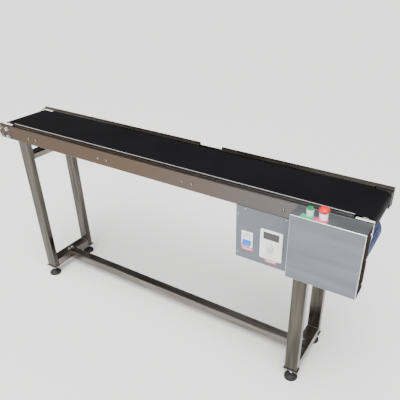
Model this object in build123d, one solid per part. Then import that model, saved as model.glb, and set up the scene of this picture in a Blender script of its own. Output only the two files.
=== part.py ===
from build123d import *
import math
import os

# Belt conveyor section on a bolted stand, in millimetres.
# Working axes: X runs from the tail end (0) to the drive end, Y from the near side frame
# to the far one, Z up from the floor. Every node is moved to the row origin at the end.

# ---------------------------------------------------------------- driving dimensions
frame_length = 1600.0
frame_width = 250.0
frame_top = 750.0
frame_depth = 60.0
sheet = 2.0
bend_radius = 3.0
flange_width = 25.0
lip_height = 5.0
bottom_flange = 20.0
slim_flange = 8.0
tail_slot_length = 80.0
drive_slot_length = 62.0

belt_width = 194.0
belt_thickness = 2.0
belt_rise = 2.0
belt_gap = 0.3

roller_radius = 27.0
roller_wall = 4.0
roller_side_gap = 1.0
roller_disc = 10.0
tail_roller_inset = 34.0
drive_roller_inset = 30.0
tail_shaft_radius = 7.5
drive_shaft_radius = 8.5
shaft_end_gap = 1.0
shaft_chamfer = 0.8
running_clearance = 0.05
loose_clearance = 0.4

bed_inset = 2.0
bed_sheet = 2.0
bed_belt_gap = 0.3
bed_roller_gap = 8.0
member_width = 56.0
member_height = 25.0
member_wall = 2.0
member_end = 4.0
member_first = 202.0
member_count = 4
member_leg_gap = 1.0
member_bolt_spacing = 42.0
member_bolt_radius = 3.0
member_bolt_length = 5.5

takeup_travel = 8.0
takeup_block_length = 56.0
block_side_gap = 1.5
block_top_gap = 2.0
block_floor_gap = 0.5
block_round = 2.0
clamp_spacing_x = 40.0
clamp_spacing_z = 34.0
clamp_drop = 3.3
clamp_bolt_radius = 4.0
clamp_bolt_grip = 17.0
clamp_washer_radius = 8.0
clamp_washer = 1.6
takeup_rod_radius = 4.0
takeup_rod_grip = 5.0
takeup_rod_reach = 30.0
end_plate = 3.0
bearing_outer = 17.5
bearing_width = 12.0
bearing_ring = 3.0
bearing_groove = 1.0

leg_width = 50.0
leg_depth = 25.0
leg_wall = 1.5
leg_bottom = 49.0
leg_top_gap = 1.0
tail_leg_inset = 105.0
drive_leg_inset = 173.0
upper_bar_top = 635.0
upper_bar_height = 25.0
lower_bar_height = 38.0
lower_bar_bottom = 45.0
stretcher_size = 38.0
stretcher_flange = 4.0
stretcher_bolt_radius = 4.0
stretcher_bolt_spacing = 18.0
stretcher_lug = 34.0
stretcher_step = 6.0
leg_plate = 4.0
leg_plate_overhang = 4.0

foot_radius = 26.0
foot_cup_height = 24.0
foot_cup_crown = 19.0
foot_stud_radius = 6.0
foot_stud_top = 110.0
foot_nut_height = 7.0
foot_nut_flats = 18.0
foot_sole_chamfer = 1.5
foot_shoulder = 10.5
foot_neck_radius = 10.8
foot_stud_chamfer = 1.2

cover_length = 225.0
cover_depth = 67.0
cover_height = 224.0
cover_sheet = 1.5
cover_bend = 2.5
mount_plate = 3.0
cover_screw_radius = 2.5
cover_screw_inset = 8.0
cover_screw_margin = 24.0
cover_rail = 12.0
cover_rail_reach = 4.5

motor_offset_x = 38.0
motor_centre_distance = 114.3
motor_radius = 60.0
motor_wall = 4.0
motor_length = 110.0
motor_fin_count = 36
motor_fin_depth = 3.0
motor_fin_width = 2.4
motor_fin_margin = 8.0
gearhead_radius = 54.0
gearhead_flange = 12.0
gearhead_length = 45.0
gearhead_wall = 5.0
fan_cover_length = 42.0
fan_cover_wall = 1.5
fan_cover_round = 8.0
fan_slot_count = 10
fan_slot_inner = 14.0
fan_slot_outer = 40.0
fan_slot_width = 4.0
rotor_radius = 30.0
rotor_shaft_radius = 6.0
rotor_shaft_in = 14.0
rotor_shaft_out = 28.0
fan_hub_gap = 8.0
fan_hub_width = 18.0
fan_hub_radius = 12.0
fan_blade_thickness = 2.0
rotor_air = 0.5
fan_radius = 46.0
fan_blade_count = 8
motor_bolt_circle = 47.0
motor_bolt_radius = 3.0
output_radius = 7.0
gear_disc_radius = 21.0
gear_disc_gap = 3.0
gear_disc_width = 12.0
terminal_box_size = 60.0
terminal_box_height = 34.0
terminal_box_bite = 14.0
terminal_box_round = 4.0

pulley_width = 14.0
pulley_flange = 2.0
pulley_flange_rise = 3.0
pulley_stand_off = 14.0
drive_pulley_radius = 20.0
motor_pulley_radius = 16.0
drive_belt_thickness = 3.0
drive_belt_gap = 0.3

box_length = 213.0
box_height = 200.0
box_depth = 110.0
box_sheet = 1.5
box_plate = 1.5
box_tab = 8.0
box_tab_thickness = 3.0
box_screw_radius = 2.0
box_screw_inset = 8.0
box_side_screw_drop = 32.0
box_top_screw_run = 34.0
box_low_screw_rise = 20.0

breaker_width = 42.0
breaker_height = 58.0
breaker_centre_x = 44.0
breaker_centre_drop = 119.0
breaker_proud = 4.0
breaker_body_depth = 50.0
breaker_round = 1.0
toggle_radius = 6.0
toggle_length = 10.0
toggle_gap = 1.0
toggle_thickness = 5.0
toggle_rest_angle = 35.0
toggle_margin = 5.0
toggle_split = 8.0
toggle_split_depth = 10.0
toggle_drop = 9.0

controller_width = 80.0
controller_height = 110.0
controller_centre_x = 133.0
controller_centre_drop = 115.0
controller_proud = 6.0
controller_lap = 6.0
controller_gap = 1.0
controller_body_depth = 45.0
controller_corner = 4.0
controller_edge = 1.2
window_width = 56.0
window_height = 26.0
window_drop = 6.0
window_proud = 0.6
window_seat = 1.4
knob_radius = 11.0
knob_height = 12.0
knob_drop = 8.0
knob_gap = 0.5
knob_round = 1.5
knob_mark_width = 1.6
knob_mark_depth = 0.5
knob_mark_start = 3.3
knob_stem_radius = 3.0
knob_stem_length = 8.0

button_y = 40.0
start_button_x = 51.0
stop_button_x = 92.0
collar_radius = 11.0
stop_collar_radius = 13.0
collar_height = 19.0
collar_round = 0.6
collar_thread_radius = 9.0
collar_thread_length = 14.0
button_bore_radius = 7.0
cap_radius = 9.6
cap_rim = 0.4
cap_rise = 7.0
cap_seat = 1.0
cap_room = 0.5
cap_round = 1.6
start_travel = 4.0
stop_travel = 5.0
mushroom_radius = 16.0
mushroom_height = 12.0
mushroom_round = 7.2
mushroom_stem_radius = 6.5
mushroom_lift = 5.8
mushroom_bore_depth = 7.0
stem_neck = 2.0
contact_block_size = 24.0
contact_block_height = 22.0
contact_block_gap = 0.6
contact_neck_wall = 2.0
contact_neck_gap = 2.0

label_left = 22.0
label_right = 16.0
label_width = 22.0
label_thickness = 0.6
label_gap = 0.5
box_label_length = 44.0
box_label_height = 12.0
box_label_gap = 4.0

gland_radius = 9.0
gland_bore = 4.0
gland_length = 18.0
gland_height = 30.0
gland_nut_flats = 21.6
gland_nut_height = 6.0
gland_thread = 4.0

guard_height = 7.0
guard_thickness = 2.0
guard_depth = 8.0
gap_start = 860.0
gap_length = 95.0


# ---------------------------------------------------------------- places worked out
belt_top = frame_top + belt_rise
belt_outer_radius = roller_radius + belt_gap + belt_thickness
axis_z = belt_top - belt_outer_radius
frame_bottom = frame_top - frame_depth
mid_y = frame_width / 2
tail_x = tail_roller_inset
drive_x = frame_length - drive_roller_inset
belt_near = mid_y - belt_width / 2
belt_far = mid_y + belt_width / 2
roller_near = belt_near + roller_side_gap
roller_far = belt_far - roller_side_gap
web_near = sheet
web_far = frame_width - sheet
bed_top = belt_top - belt_thickness - bed_belt_gap
bed_start = tail_x + takeup_travel + roller_radius + bed_roller_gap
bed_end = drive_x - roller_radius - bed_roller_gap
member_z = frame_bottom + member_height
member_top = member_z + member_height / 2

cover_start = frame_length - cover_length
cover_bottom = frame_top - cover_height
motor_x = drive_x - motor_offset_x
motor_z = axis_z - math.sqrt(motor_centre_distance ** 2 - motor_offset_x ** 2)
pulley_y = -mount_plate - pulley_stand_off
rail_start = frame_length - cover_sheet - cover_rail_reach
cover_screw_y = -mount_plate - cover_screw_inset
cover_screw_heights = [
    cover_bottom + cover_screw_margin,
    cover_bottom + cover_height / 2,
    frame_top - cover_screw_margin,
]

tail_leg_x = tail_leg_inset
drive_leg_x = frame_length - drive_leg_inset - leg_width
leg_near_y = web_near
leg_far_y = web_far - leg_depth
leg_top = frame_top - sheet - leg_top_gap
leg_corners = [
    ("tail_near", tail_leg_x, leg_near_y),
    ("tail_far", tail_leg_x, leg_far_y),
    ("drive_near", drive_leg_x, leg_near_y),
    ("drive_far", drive_leg_x, leg_far_y),
]
lower_bar_top = lower_bar_bottom + lower_bar_height

box_end = min(cover_start, drive_leg_x) - loose_clearance
box_start = box_end - box_length
box_top = min(frame_bottom, axis_z - belt_outer_radius) - loose_clearance
box_bottom = box_top - box_height
breaker_x = box_start + breaker_centre_x
breaker_z = box_top - breaker_centre_drop
controller_x = box_start + controller_centre_x
controller_z = box_top - controller_centre_drop

clamp_z = frame_bottom + frame_depth / 2 - clamp_drop
clamp_places = [
    (tail_x + sx * clamp_spacing_x / 2, clamp_z + sz * clamp_spacing_z / 2)
    for sx in (-1, 1)
    for sz in (-1, 1)
]
member_last = drive_leg_x - member_leg_gap - member_width / 2
member_pitch = (member_last - member_first) / (member_count - 1)
member_places = [member_first + member_pitch * i for i in range(member_count)]
start_x = cover_start + start_button_x
stop_x = cover_start + stop_button_x

m8_head_height = 5.3
m8_flats = 13.0
m8_nut_height = 6.5
m6_head_height = 3.5
m6_head_radius = 5.0
m5_head_height = 2.4
m5_head_radius = 4.5
m4_head_radius = 3.6

origin_x = (frame_length + m5_head_height - takeup_rod_reach) / 2
foot_far_edge = leg_far_y + leg_depth / 2 + foot_radius
origin_y = (foot_far_edge - cover_depth) / 2

nodes = {}


# ---------------------------------------------------------------- small builders
def block(x0, x1, y0, y1, z0, z1):
    """A box between two corners."""
    centre = Pos((x0 + x1) / 2, (y0 + y1) / 2, (z0 + z1) / 2)
    return centre * Box(x1 - x0, y1 - y0, z1 - z0)


def rod_x(y, z, radius, x0, x1):
    return Pos((x0 + x1) / 2, y, z) * Rot(0, 90, 0) * Cylinder(radius, x1 - x0)


def rod_y(x, z, radius, y0, y1):
    return Pos(x, (y0 + y1) / 2, z) * Rot(90, 0, 0) * Cylinder(radius, y1 - y0)


def rod_z(x, y, radius, z0, z1):
    return Pos(x, y, (z0 + z1) / 2) * Cylinder(radius, z1 - z0)


def hexagon(flats, height):
    """A hexagonal bar standing on the XY plane."""
    return extrude(RegularPolygon(flats / math.sqrt(3), 6), height)


def slot_y(x, z, radius, run, y0, y1):
    """A cutter for a slot along X, starting with its first centre at x."""
    body = block(x, x + run, y0, y1, z - radius, z + radius)
    return body + rod_y(x, z, radius, y0, y1) + rod_y(x + run, z, radius, y0, y1)


def mirrored(part):
    """The same piece on the other side of the belt's middle plane."""
    return mirror(part, Plane.XZ.offset(-mid_y))


def dome_screw_y(x, z, shank, head_radius, head, y_face, grip, outward):
    """A pan-head screw whose head stands out of a face along Y (outward is -1 or 1)."""
    head_end = y_face + outward * head
    shank_end = y_face - outward * grip
    top = rod_y(x, z, head_radius, min(y_face, head_end), max(y_face, head_end))
    rim = top.edges().filter_by(GeomType.CIRCLE).sort_by(Axis.Y)[0 if outward < 0 else -1]
    top = fillet(rim, head * 0.6)
    return top + rod_y(x, z, shank, min(y_face, shank_end), max(y_face, shank_end))


def hull(x0, z0, r0, x1, z1, r1):
    """The outline of a belt round two pulleys, as a face in the XZ plane seen from -Y."""
    run = math.hypot(x1 - x0, z1 - z0)
    heading = math.atan2(z1 - z0, x1 - x0)
    lean = math.acos((r0 - r1) / run)
    corners = []
    for x, z, r, side in ((x0, z0, r0, 1), (x1, z1, r1, 1), (x1, z1, r1, -1), (x0, z0, r0, -1)):
        angle = heading + side * lean
        corners.append((x + r * math.cos(angle), z + r * math.sin(angle)))
    face = make_face(Polyline(*corners, close=True))
    return face + Pos(x0, z0) * Circle(r0) + Pos(x1, z1) * Circle(r1)


def loop(x0, z0, r0, x1, z1, r1, thickness, y0, y1):
    """A closed belt of even thickness round two pulleys, between two Y planes."""
    outer = hull(x0, z0, r0 + thickness, x1, z1, r1 + thickness)
    inner = hull(x0, z0, r0, x1, z1, r1)
    ring = extrude(outer - inner, y1 - y0)
    return Pos(0, y1, 0) * Rot(90, 0, 0) * ring


def tube_z(x, y, width, depth, wall, z0, z1):
    outer = block(x, x + width, y, y + depth, z0, z1)
    inner = block(x + wall, x + width - wall, y + wall, y + depth - wall, z0 - 1, z1 + 1)
    outer = fillet(outer.edges().filter_by(Axis.Z), 2 * wall)
    inner = fillet(inner.edges().filter_by(Axis.Z), wall)
    return outer - inner


def tube_y(x, z, width, height, wall, y0, y1):
    outer = block(x, x + width, y0, y1, z, z + height)
    inner = block(x + wall, x + width - wall, y0 - 1, y1 + 1, z + wall, z + height - wall)
    outer = fillet(outer.edges().filter_by(Axis.Y), 2 * wall)
    inner = fillet(inner.edges().filter_by(Axis.Y), wall)
    return outer - inner


def tube_x(y, z, width, height, wall, x0, x1):
    outer = block(x0, x1, y, y + width, z, z + height)
    inner = block(x0 - 1, x1 + 1, y + wall, y + width - wall, z + wall, z + height - wall)
    outer = fillet(outer.edges().filter_by(Axis.X), 2 * wall)
    inner = fillet(inner.edges().filter_by(Axis.X), wall)
    return outer - inner


def add(name, *solids):
    """Keep one node: a single piece, or a group of separate equal ones."""
    nodes[name] = solids[0] if len(solids) == 1 else Compound(children=list(solids))


# ---------------------------------------------------------------- side frames
def side_frame():
    """The near channel: web, top flange with an upturned lip, and bottom flange."""
    web = block(0, frame_length, 0, sheet, frame_bottom, frame_top)
    top = block(0, frame_length, 0, flange_width, frame_top - sheet, frame_top)
    lip = block(0, frame_length, flange_width - sheet, flange_width,
                frame_top - sheet, frame_top + lip_height)
    bottom = block(0, frame_length, 0, bottom_flange, frame_bottom, frame_bottom + sheet)
    channel = web + top + lip + bottom
    outer_bends = channel.edges().filter_by(Axis.X).filter_by(lambda e: e.center().Y < 0.01)
    channel = fillet(outer_bends, bend_radius)
    inner_bends = channel.edges().filter_by(Axis.X).filter_by(
        lambda e: abs(e.center().Y - sheet) < 0.01
        and frame_bottom + 0.01 < e.center().Z < frame_top - 0.01)
    channel = fillet(inner_bends, bend_radius - sheet)
    for start, run in ((0, tail_slot_length), (frame_length - drive_slot_length, drive_slot_length)):
        channel -= block(start - 1 if start == 0 else start, start + run + (start > 0),
                         slim_flange, flange_width + 1,
                         frame_top - sheet - 1, frame_top + lip_height + 1)
    for x in (tail_leg_x, drive_leg_x):
        channel -= block(x - loose_clearance, x + leg_width + loose_clearance,
                         sheet, bottom_flange + 1, frame_bottom - 1, frame_bottom + sheet + 1)
    channel -= block(-1, end_plate, sheet, bottom_flange + 1,
                     frame_bottom - 1, frame_bottom + sheet + 1)
    block_end = tail_x + takeup_block_length / 2 + takeup_travel + loose_clearance
    channel -= block(-1, block_end, sheet, bottom_flange + 1,
                     frame_bottom - 1, frame_bottom + sheet + 1)
    drive_block = drive_x - takeup_block_length / 2 - loose_clearance
    channel -= block(drive_block, frame_length + 1, sheet, bottom_flange + 1,
                     frame_bottom - 1, frame_bottom + sheet + 1)
    for x, z in clamp_places:
        channel -= slot_y(x, z, clamp_bolt_radius + loose_clearance, takeup_travel, -1, sheet + 1)
    for x in member_places:
        for side in (-1, 1):
            channel -= rod_y(x + side * member_bolt_spacing / 2, member_z,
                             member_bolt_radius + loose_clearance, -1, sheet + 1)
    return channel


near_frame = side_frame()
far_frame = mirrored(near_frame)
near_frame -= rod_y(drive_x, axis_z, drive_shaft_radius + 3 * loose_clearance, -1, sheet + 1)
far_frame -= block(gap_start, gap_start + gap_length, frame_width - flange_width - 1,
                   frame_width - sheet, frame_top - sheet - 1, frame_top + lip_height + 1)
far_frame -= block(gap_start, gap_start + gap_length, frame_width - sheet - 1,
                   frame_width + 1, frame_top - sheet, frame_top + 1)
add("near_side_frame", near_frame)
add("far_side_frame", far_frame)

guard_low = frame_top - guard_depth
guard_high = frame_top + guard_height
guard_face = frame_width
guards = []
for x0, x1 in ((0, gap_start), (gap_start + gap_length, frame_length)):
    guards.append(block(x0, x1, guard_face, guard_face + guard_thickness, guard_low, guard_high))
add("far_guard_strips", *guards)

end_plates = []
near_end = block(0, end_plate, sheet, flange_width, frame_bottom, leg_top)
near_end -= rod_x((sheet + belt_near - block_side_gap) / 2, clamp_z,
                  takeup_rod_radius + loose_clearance, -1, end_plate + 1)
add("takeup_end_plates", near_end, mirrored(near_end))


# ---------------------------------------------------------------- belt bed and its members
bed_near = belt_near + bed_inset
bed_far = belt_far - bed_inset
bed = block(bed_start, bed_end, bed_near, bed_far, member_top, bed_top)
bed -= block(bed_start - 1, bed_end + 1, bed_near + bed_sheet, bed_far - bed_sheet,
             member_top - 1, bed_top - bed_sheet)
bed = fillet(bed.edges().filter_by(Axis.X).group_by(Axis.Z)[-1], bed_sheet * 0.8)
add("slider_bed", bed)


def cross_member(x):
    """A flat tube between the webs, closed by a tapped plate at each end."""
    z0 = member_z - member_height / 2
    x0 = x - member_width / 2
    tube = tube_y(x0, z0, member_width, member_height, member_wall,
                  web_near + member_end, web_far - member_end)
    for y0 in (web_near, web_far - member_end):
        plate = block(x0, x0 + member_width, y0, y0 + member_end, z0, z0 + member_height)
        for side in (-1, 1):
            plate -= rod_y(x + side * member_bolt_spacing / 2, member_z,
                           member_bolt_radius, y0 - 1, y0 + member_end + 1)
        tube += plate
    return tube


add("cross_members", *[cross_member(x) for x in member_places])

member_bolts = []
for x in member_places:
    for side in (-1, 1):
        bolt = dome_screw_y(x + side * member_bolt_spacing / 2, member_z, member_bolt_radius,
                            m6_head_radius, m6_head_height, 0, member_bolt_length, -1)
        member_bolts.append(bolt)
        member_bolts.append(mirrored(bolt))
add("cross_member_bolts", *member_bolts)


# ---------------------------------------------------------------- rollers and conveyor belt
def roller_shell(x, bore):
    """A tube with a thick disc at each end, bored for its shaft."""
    shell = rod_y(x, axis_z, roller_radius, roller_near, roller_far)
    shell -= rod_y(x, axis_z, roller_radius - roller_wall,
                   roller_near + roller_disc, roller_far - roller_disc)
    shell -= rod_y(x, axis_z, bore, roller_near - 1, roller_far + 1)
    return shell


inner_radius = roller_radius + belt_gap
add("conveyor_belt", loop(tail_x, axis_z, inner_radius, drive_x, axis_z, inner_radius,
                          belt_thickness, belt_near, belt_far))
add("drive_roller_shell", roller_shell(drive_x, drive_shaft_radius))
add("tail_roller_shell", roller_shell(tail_x, tail_shaft_radius + running_clearance))

shaft_near = pulley_y - pulley_width / 2 - pulley_flange
block_near = web_near
block_inner = belt_near - block_side_gap
block_far_inner = frame_width - block_inner
drive_shaft = rod_y(drive_x, axis_z, drive_shaft_radius, shaft_near, web_far - shaft_end_gap)
drive_shaft = chamfer(drive_shaft.edges().filter_by(GeomType.CIRCLE), shaft_chamfer)
add("drive_roller_shaft", drive_shaft)
tail_shaft = rod_y(tail_x, axis_z, tail_shaft_radius, web_near + shaft_end_gap, web_far - shaft_end_gap)
add("tail_roller_shaft", tail_shaft)

block_bottom = frame_bottom + block_floor_gap
block_top = frame_top - sheet - block_top_gap


def end_block(x):
    """A white slide block between web and roller."""
    half = takeup_block_length / 2
    body = block(x - half, x + half, block_near, block_inner, block_bottom, block_top)
    return fillet(body.edges().filter_by(Axis.Y), block_round)


rod_y_place = (sheet + block_inner) / 2
takeup_block = end_block(tail_x)
takeup_block -= rod_y(tail_x, axis_z, tail_shaft_radius, block_near - 1, block_inner + 1)
for x, z in clamp_places:
    takeup_block -= rod_y(x, z, clamp_bolt_radius, block_near - 1, block_near + clamp_bolt_grip)
rod_tip = tail_x - takeup_block_length / 2 + takeup_rod_grip
takeup_block -= rod_x(rod_y_place, clamp_z, takeup_rod_radius,
                      tail_x - takeup_block_length / 2 - 1, rod_tip)
add("takeup_blocks", takeup_block, mirrored(takeup_block))

clamp_bolts = []
for x, z in clamp_places:
    head = Pos(x, -clamp_washer, z) * Rot(90, 0, 0) * hexagon(m8_flats, m8_head_height)
    washer = rod_y(x, z, clamp_washer_radius, -clamp_washer, 0)
    bolt = head + washer + rod_y(x, z, clamp_bolt_radius, 0, block_near + clamp_bolt_grip)
    clamp_bolts.append(bolt)
    clamp_bolts.append(mirrored(bolt))
add("takeup_clamp_bolts", *clamp_bolts)

rod = rod_x(rod_y_place, clamp_z, takeup_rod_radius, -takeup_rod_reach, rod_tip)
add("takeup_rods", rod, mirrored(rod))
nut = Pos(0, rod_y_place, clamp_z) * Rot(0, -90, 0) * hexagon(m8_flats, m8_nut_height)
nut -= rod_x(rod_y_place, clamp_z, takeup_rod_radius + running_clearance, -takeup_rod_reach, 1)
add("takeup_nuts", nut, mirrored(nut))

drive_block = end_block(drive_x)
drive_block -= rod_y(drive_x, axis_z, bearing_outer, block_inner - bearing_width, block_inner + 1)
drive_block -= rod_y(drive_x, axis_z, drive_shaft_radius + loose_clearance,
                     block_near - 1, block_inner + 1)
add("drive_bearing_blocks", drive_block, mirrored(drive_block))
bearing = rod_y(drive_x, axis_z, bearing_outer, block_inner - bearing_width, block_inner)
bearing -= rod_y(drive_x, axis_z, drive_shaft_radius + running_clearance,
                 block_inner - bearing_width - 1, block_inner + 1)
groove = rod_y(drive_x, axis_z, bearing_outer - bearing_ring, block_inner - bearing_groove, block_inner + 1)
groove -= rod_y(drive_x, axis_z, drive_shaft_radius + bearing_ring,
                block_inner - bearing_groove, block_inner + 1)
bearing -= groove
add("drive_bearings", bearing, mirrored(bearing))


# ---------------------------------------------------------------- stand
add("stand_legs", *[
    tube_z(x, y, leg_width, leg_depth, leg_wall, leg_bottom, leg_top)
    for name, x, y in leg_corners
])

bar_near = leg_near_y + leg_depth
bar_far = leg_far_y
add("upper_crossbars", *[
    tube_y(x, upper_bar_top - upper_bar_height, leg_width, upper_bar_height, leg_wall,
           bar_near, bar_far)
    for x in (tail_leg_x, drive_leg_x)
])
add("lower_crossbars", *[
    tube_y(x, lower_bar_bottom, leg_width, lower_bar_height, leg_wall, bar_near, bar_far)
    for x in (tail_leg_x, drive_leg_x)
])

stretcher_start = tail_leg_x + leg_width
stretcher_end = drive_leg_x
stretcher_y = mid_y - stretcher_size / 2
bar = tube_x(stretcher_y, lower_bar_bottom, stretcher_size, lower_bar_height, leg_wall,
             stretcher_start, stretcher_end)
lug_bolts = []
for x, out in ((stretcher_start, -1), (stretcher_end, 1)):
    lug = block(min(x, x + out * stretcher_lug), max(x, x + out * stretcher_lug),
                stretcher_y, stretcher_y + stretcher_size,
                lower_bar_top, lower_bar_top + stretcher_flange)
    step = block(min(x, x - out * stretcher_step), max(x, x - out * stretcher_step), stretcher_y,
                 stretcher_y + stretcher_size, lower_bar_top - 1, lower_bar_top + stretcher_flange)
    for side in (-1, 1):
        bx = x + out * stretcher_lug / 2
        by = mid_y + side * stretcher_bolt_spacing / 2
        lug -= rod_z(bx, by, stretcher_bolt_radius, lower_bar_top - 1,
                     lower_bar_top + stretcher_flange + 1)
        bolt = Pos(bx, by, lower_bar_top + stretcher_flange) * hexagon(m8_flats, m8_head_height)
        bolt += rod_z(bx, by, stretcher_bolt_radius, lower_bar_top, lower_bar_top + stretcher_flange)
        lug_bolts.append(bolt)
    bar = bar + lug + step
add("stretcher", bar)
add("stretcher_bolts", *lug_bolts)

plates = []
lock_nuts = []
for name, x, y in leg_corners:
    y_out = -leg_plate_overhang
    y_in = leg_depth
    if "far" in name:
        y_out = 0.0
        y_in = leg_depth + leg_plate_overhang
    cx = x + leg_width / 2
    cy = y + leg_depth / 2
    plate = block(x - leg_plate_overhang, x + leg_width + leg_plate_overhang,
                  y + y_out, y + y_in, leg_bottom - leg_plate, leg_bottom)
    plate -= rod_z(cx, cy, foot_stud_radius + running_clearance, 0, leg_bottom + 1)
    plates.append(plate)
    nut_top = leg_bottom - leg_plate
    lock = Pos(cx, cy, nut_top - foot_nut_height) * hexagon(foot_nut_flats, foot_nut_height)
    lock -= rod_z(cx, cy, foot_stud_radius + running_clearance, 0, leg_bottom + 1)
    lock_nuts.append(lock)
    cup = rod_z(cx, cy, foot_radius, 0, foot_cup_crown)
    cup = chamfer(cup.edges().filter_by(GeomType.CIRCLE).sort_by(Axis.Z)[0], foot_sole_chamfer)
    rim = cup.edges().filter_by(GeomType.CIRCLE).sort_by(Axis.Z)[-1]
    cup = fillet(rim, foot_shoulder)
    cup += rod_z(cx, cy, foot_neck_radius, foot_cup_crown - 1, foot_cup_height)
    cup -= rod_z(cx, cy, foot_stud_radius, foot_cup_height / 2, foot_cup_height + 1)
    stud = rod_z(cx, cy, foot_stud_radius, foot_cup_height / 2, foot_stud_top)
    stud = chamfer(stud.edges().filter_by(GeomType.CIRCLE).sort_by(Axis.Z)[-1], foot_stud_chamfer)
    add(name + "_foot", cup, stud)
add("leg_end_plates", *plates)
add("foot_lock_nuts", *lock_nuts)


# ---------------------------------------------------------------- drive side: plate, cover
plate = block(cover_start, frame_length, -mount_plate, 0, cover_bottom, frame_top - cover_sheet)
plate -= rod_y(drive_x, axis_z, drive_shaft_radius + 3 * loose_clearance, -mount_plate - 1, 1)
plate -= rod_y(motor_x, motor_z, output_radius + 3 * loose_clearance, -mount_plate - 1, 1)
motor_bolt_places = [
    (motor_x + motor_bolt_circle * math.cos(a), motor_z + motor_bolt_circle * math.sin(a))
    for a in [math.radians(45 + 90 * i) for i in range(4)]
]
for x, z in motor_bolt_places:
    plate -= rod_y(x, z, motor_bolt_radius, -mount_plate - 1, 1)
for z in cover_screw_heights:
    rail = block(rail_start, frame_length - cover_sheet, -mount_plate - cover_rail,
                 -mount_plate, z - cover_rail / 2, z + cover_rail / 2)
    rail -= rod_x(cover_screw_y, z, cover_screw_radius, rail_start - 1, frame_length)
    plate += rail
add("motor_mount_plate", plate)

cover = block(cover_start, frame_length, -cover_depth, -mount_plate, cover_bottom, frame_top)
front_edges = cover.edges().filter_by(Axis.Z).group_by(Axis.Y)[0]
top_front = cover.edges().filter_by(Axis.X).group_by(Axis.Y)[0]
cover = fillet(front_edges + top_front, cover_bend)
cover -= block(cover_start + cover_sheet, frame_length - cover_sheet,
               -cover_depth + cover_sheet, 0, cover_bottom + cover_sheet, frame_top - cover_sheet)
lid = block(cover_start, frame_length, -mount_plate, 0, frame_top - cover_sheet, frame_top)
cover += lid
for x in (start_x, stop_x):
    cover -= rod_z(x, -button_y, collar_thread_radius, frame_top - cover_sheet - 1, frame_top + 1)
cover_screws = []
for z in cover_screw_heights:
    cover -= rod_x(cover_screw_y, z, cover_screw_radius,
                   frame_length - cover_sheet - 1, frame_length + 1)
    head = rod_x(cover_screw_y, z, m5_head_radius, frame_length, frame_length + m5_head_height)
    rim = head.edges().filter_by(GeomType.CIRCLE).sort_by(Axis.X)[-1]
    head = fillet(rim, m5_head_height * 0.6)
    shank = rod_x(cover_screw_y, z, cover_screw_radius, rail_start, frame_length)
    cover_screws.append(head + shank)
add("drive_cover", cover)
add("cover_screws", *cover_screws)


# ---------------------------------------------------------------- drive belt and pulleys
def pulley(x, z, radius, bore):
    """A flanged flat pulley on the shaft end inside the cover."""
    half = pulley_width / 2
    body = rod_y(x, z, radius, pulley_y - half, pulley_y + half)
    for y in (pulley_y - half - pulley_flange, pulley_y + half):
        body += rod_y(x, z, radius + pulley_flange_rise, y, y + pulley_flange)
    return body - rod_y(x, z, bore, pulley_y - pulley_width, pulley_y + pulley_width)


add("roller_pulley", pulley(drive_x, axis_z, drive_pulley_radius, drive_shaft_radius))
add("motor_pulley", pulley(motor_x, motor_z, motor_pulley_radius, output_radius))
belt_half = pulley_width / 2 - loose_clearance
add("drive_belt", loop(motor_x, motor_z, motor_pulley_radius + drive_belt_gap,
                       drive_x, axis_z, drive_pulley_radius + drive_belt_gap,
                       drive_belt_thickness, pulley_y - belt_half, pulley_y + belt_half))


# ---------------------------------------------------------------- gear motor
gear_end = gearhead_flange + gearhead_length
barrel_end = gear_end + motor_length
motor_end = barrel_end + fan_cover_length
gearhead = rod_y(motor_x, motor_z, motor_radius, 0, gearhead_flange)
gearhead += rod_y(motor_x, motor_z, gearhead_radius, gearhead_flange, gear_end)
gearhead -= rod_y(motor_x, motor_z, gearhead_radius - gearhead_wall,
                  gearhead_wall, gear_end - gearhead_wall)
gearhead -= rod_y(motor_x, motor_z, output_radius + running_clearance, -1, gearhead_wall + 1)
gearhead -= rod_y(motor_x, motor_z, rotor_shaft_radius + running_clearance,
                  gear_end - gearhead_wall - 1, gear_end + 1)
for x, z in motor_bolt_places:
    gearhead -= rod_y(x, z, motor_bolt_radius, -1, gearhead_wall + 1)
add("gearhead_housing", gearhead)

output = rod_y(motor_x, motor_z, output_radius, shaft_near, gear_end / 2)
output += rod_y(motor_x, motor_z, gear_disc_radius, gearhead_wall + gear_disc_gap,
                gearhead_wall + gear_disc_gap + gear_disc_width)
add("gearhead_output_shaft", output)

motor_bolts = []
for x, z in motor_bolt_places:
    bolt = dome_screw_y(x, z, motor_bolt_radius, m6_head_radius, m6_head_height,
                        -mount_plate, mount_plate + gearhead_wall, -1)
    motor_bolts.append(bolt)
add("motor_bolts", *motor_bolts)

barrel = rod_y(motor_x, motor_z, motor_radius, gear_end, barrel_end)
barrel -= rod_y(motor_x, motor_z, motor_radius - motor_wall - motor_fin_depth,
                gear_end + motor_wall, barrel_end - motor_wall)
barrel -= rod_y(motor_x, motor_z, rotor_shaft_radius + running_clearance,
                gear_end - 1, barrel_end + 1)
for i in range(motor_fin_count):
    groove = block(motor_radius - motor_fin_depth, motor_radius + 1,
                   0, motor_length - 2 * motor_fin_margin,
                   -motor_fin_width / 2, motor_fin_width / 2)
    turned = Pos(motor_x, gear_end + motor_fin_margin, motor_z) * Rot(0, 360 / motor_fin_count * i, 0)
    barrel -= turned * groove
add("motor_housing", barrel)

stator_outer = motor_radius - motor_wall - motor_fin_depth
stator = rod_y(motor_x, motor_z, stator_outer, gear_end + 2 * motor_wall, barrel_end - 2 * motor_wall)
stator -= rod_y(motor_x, motor_z, rotor_radius + rotor_air, gear_end, barrel_end)
add("motor_stator", stator)

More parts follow.
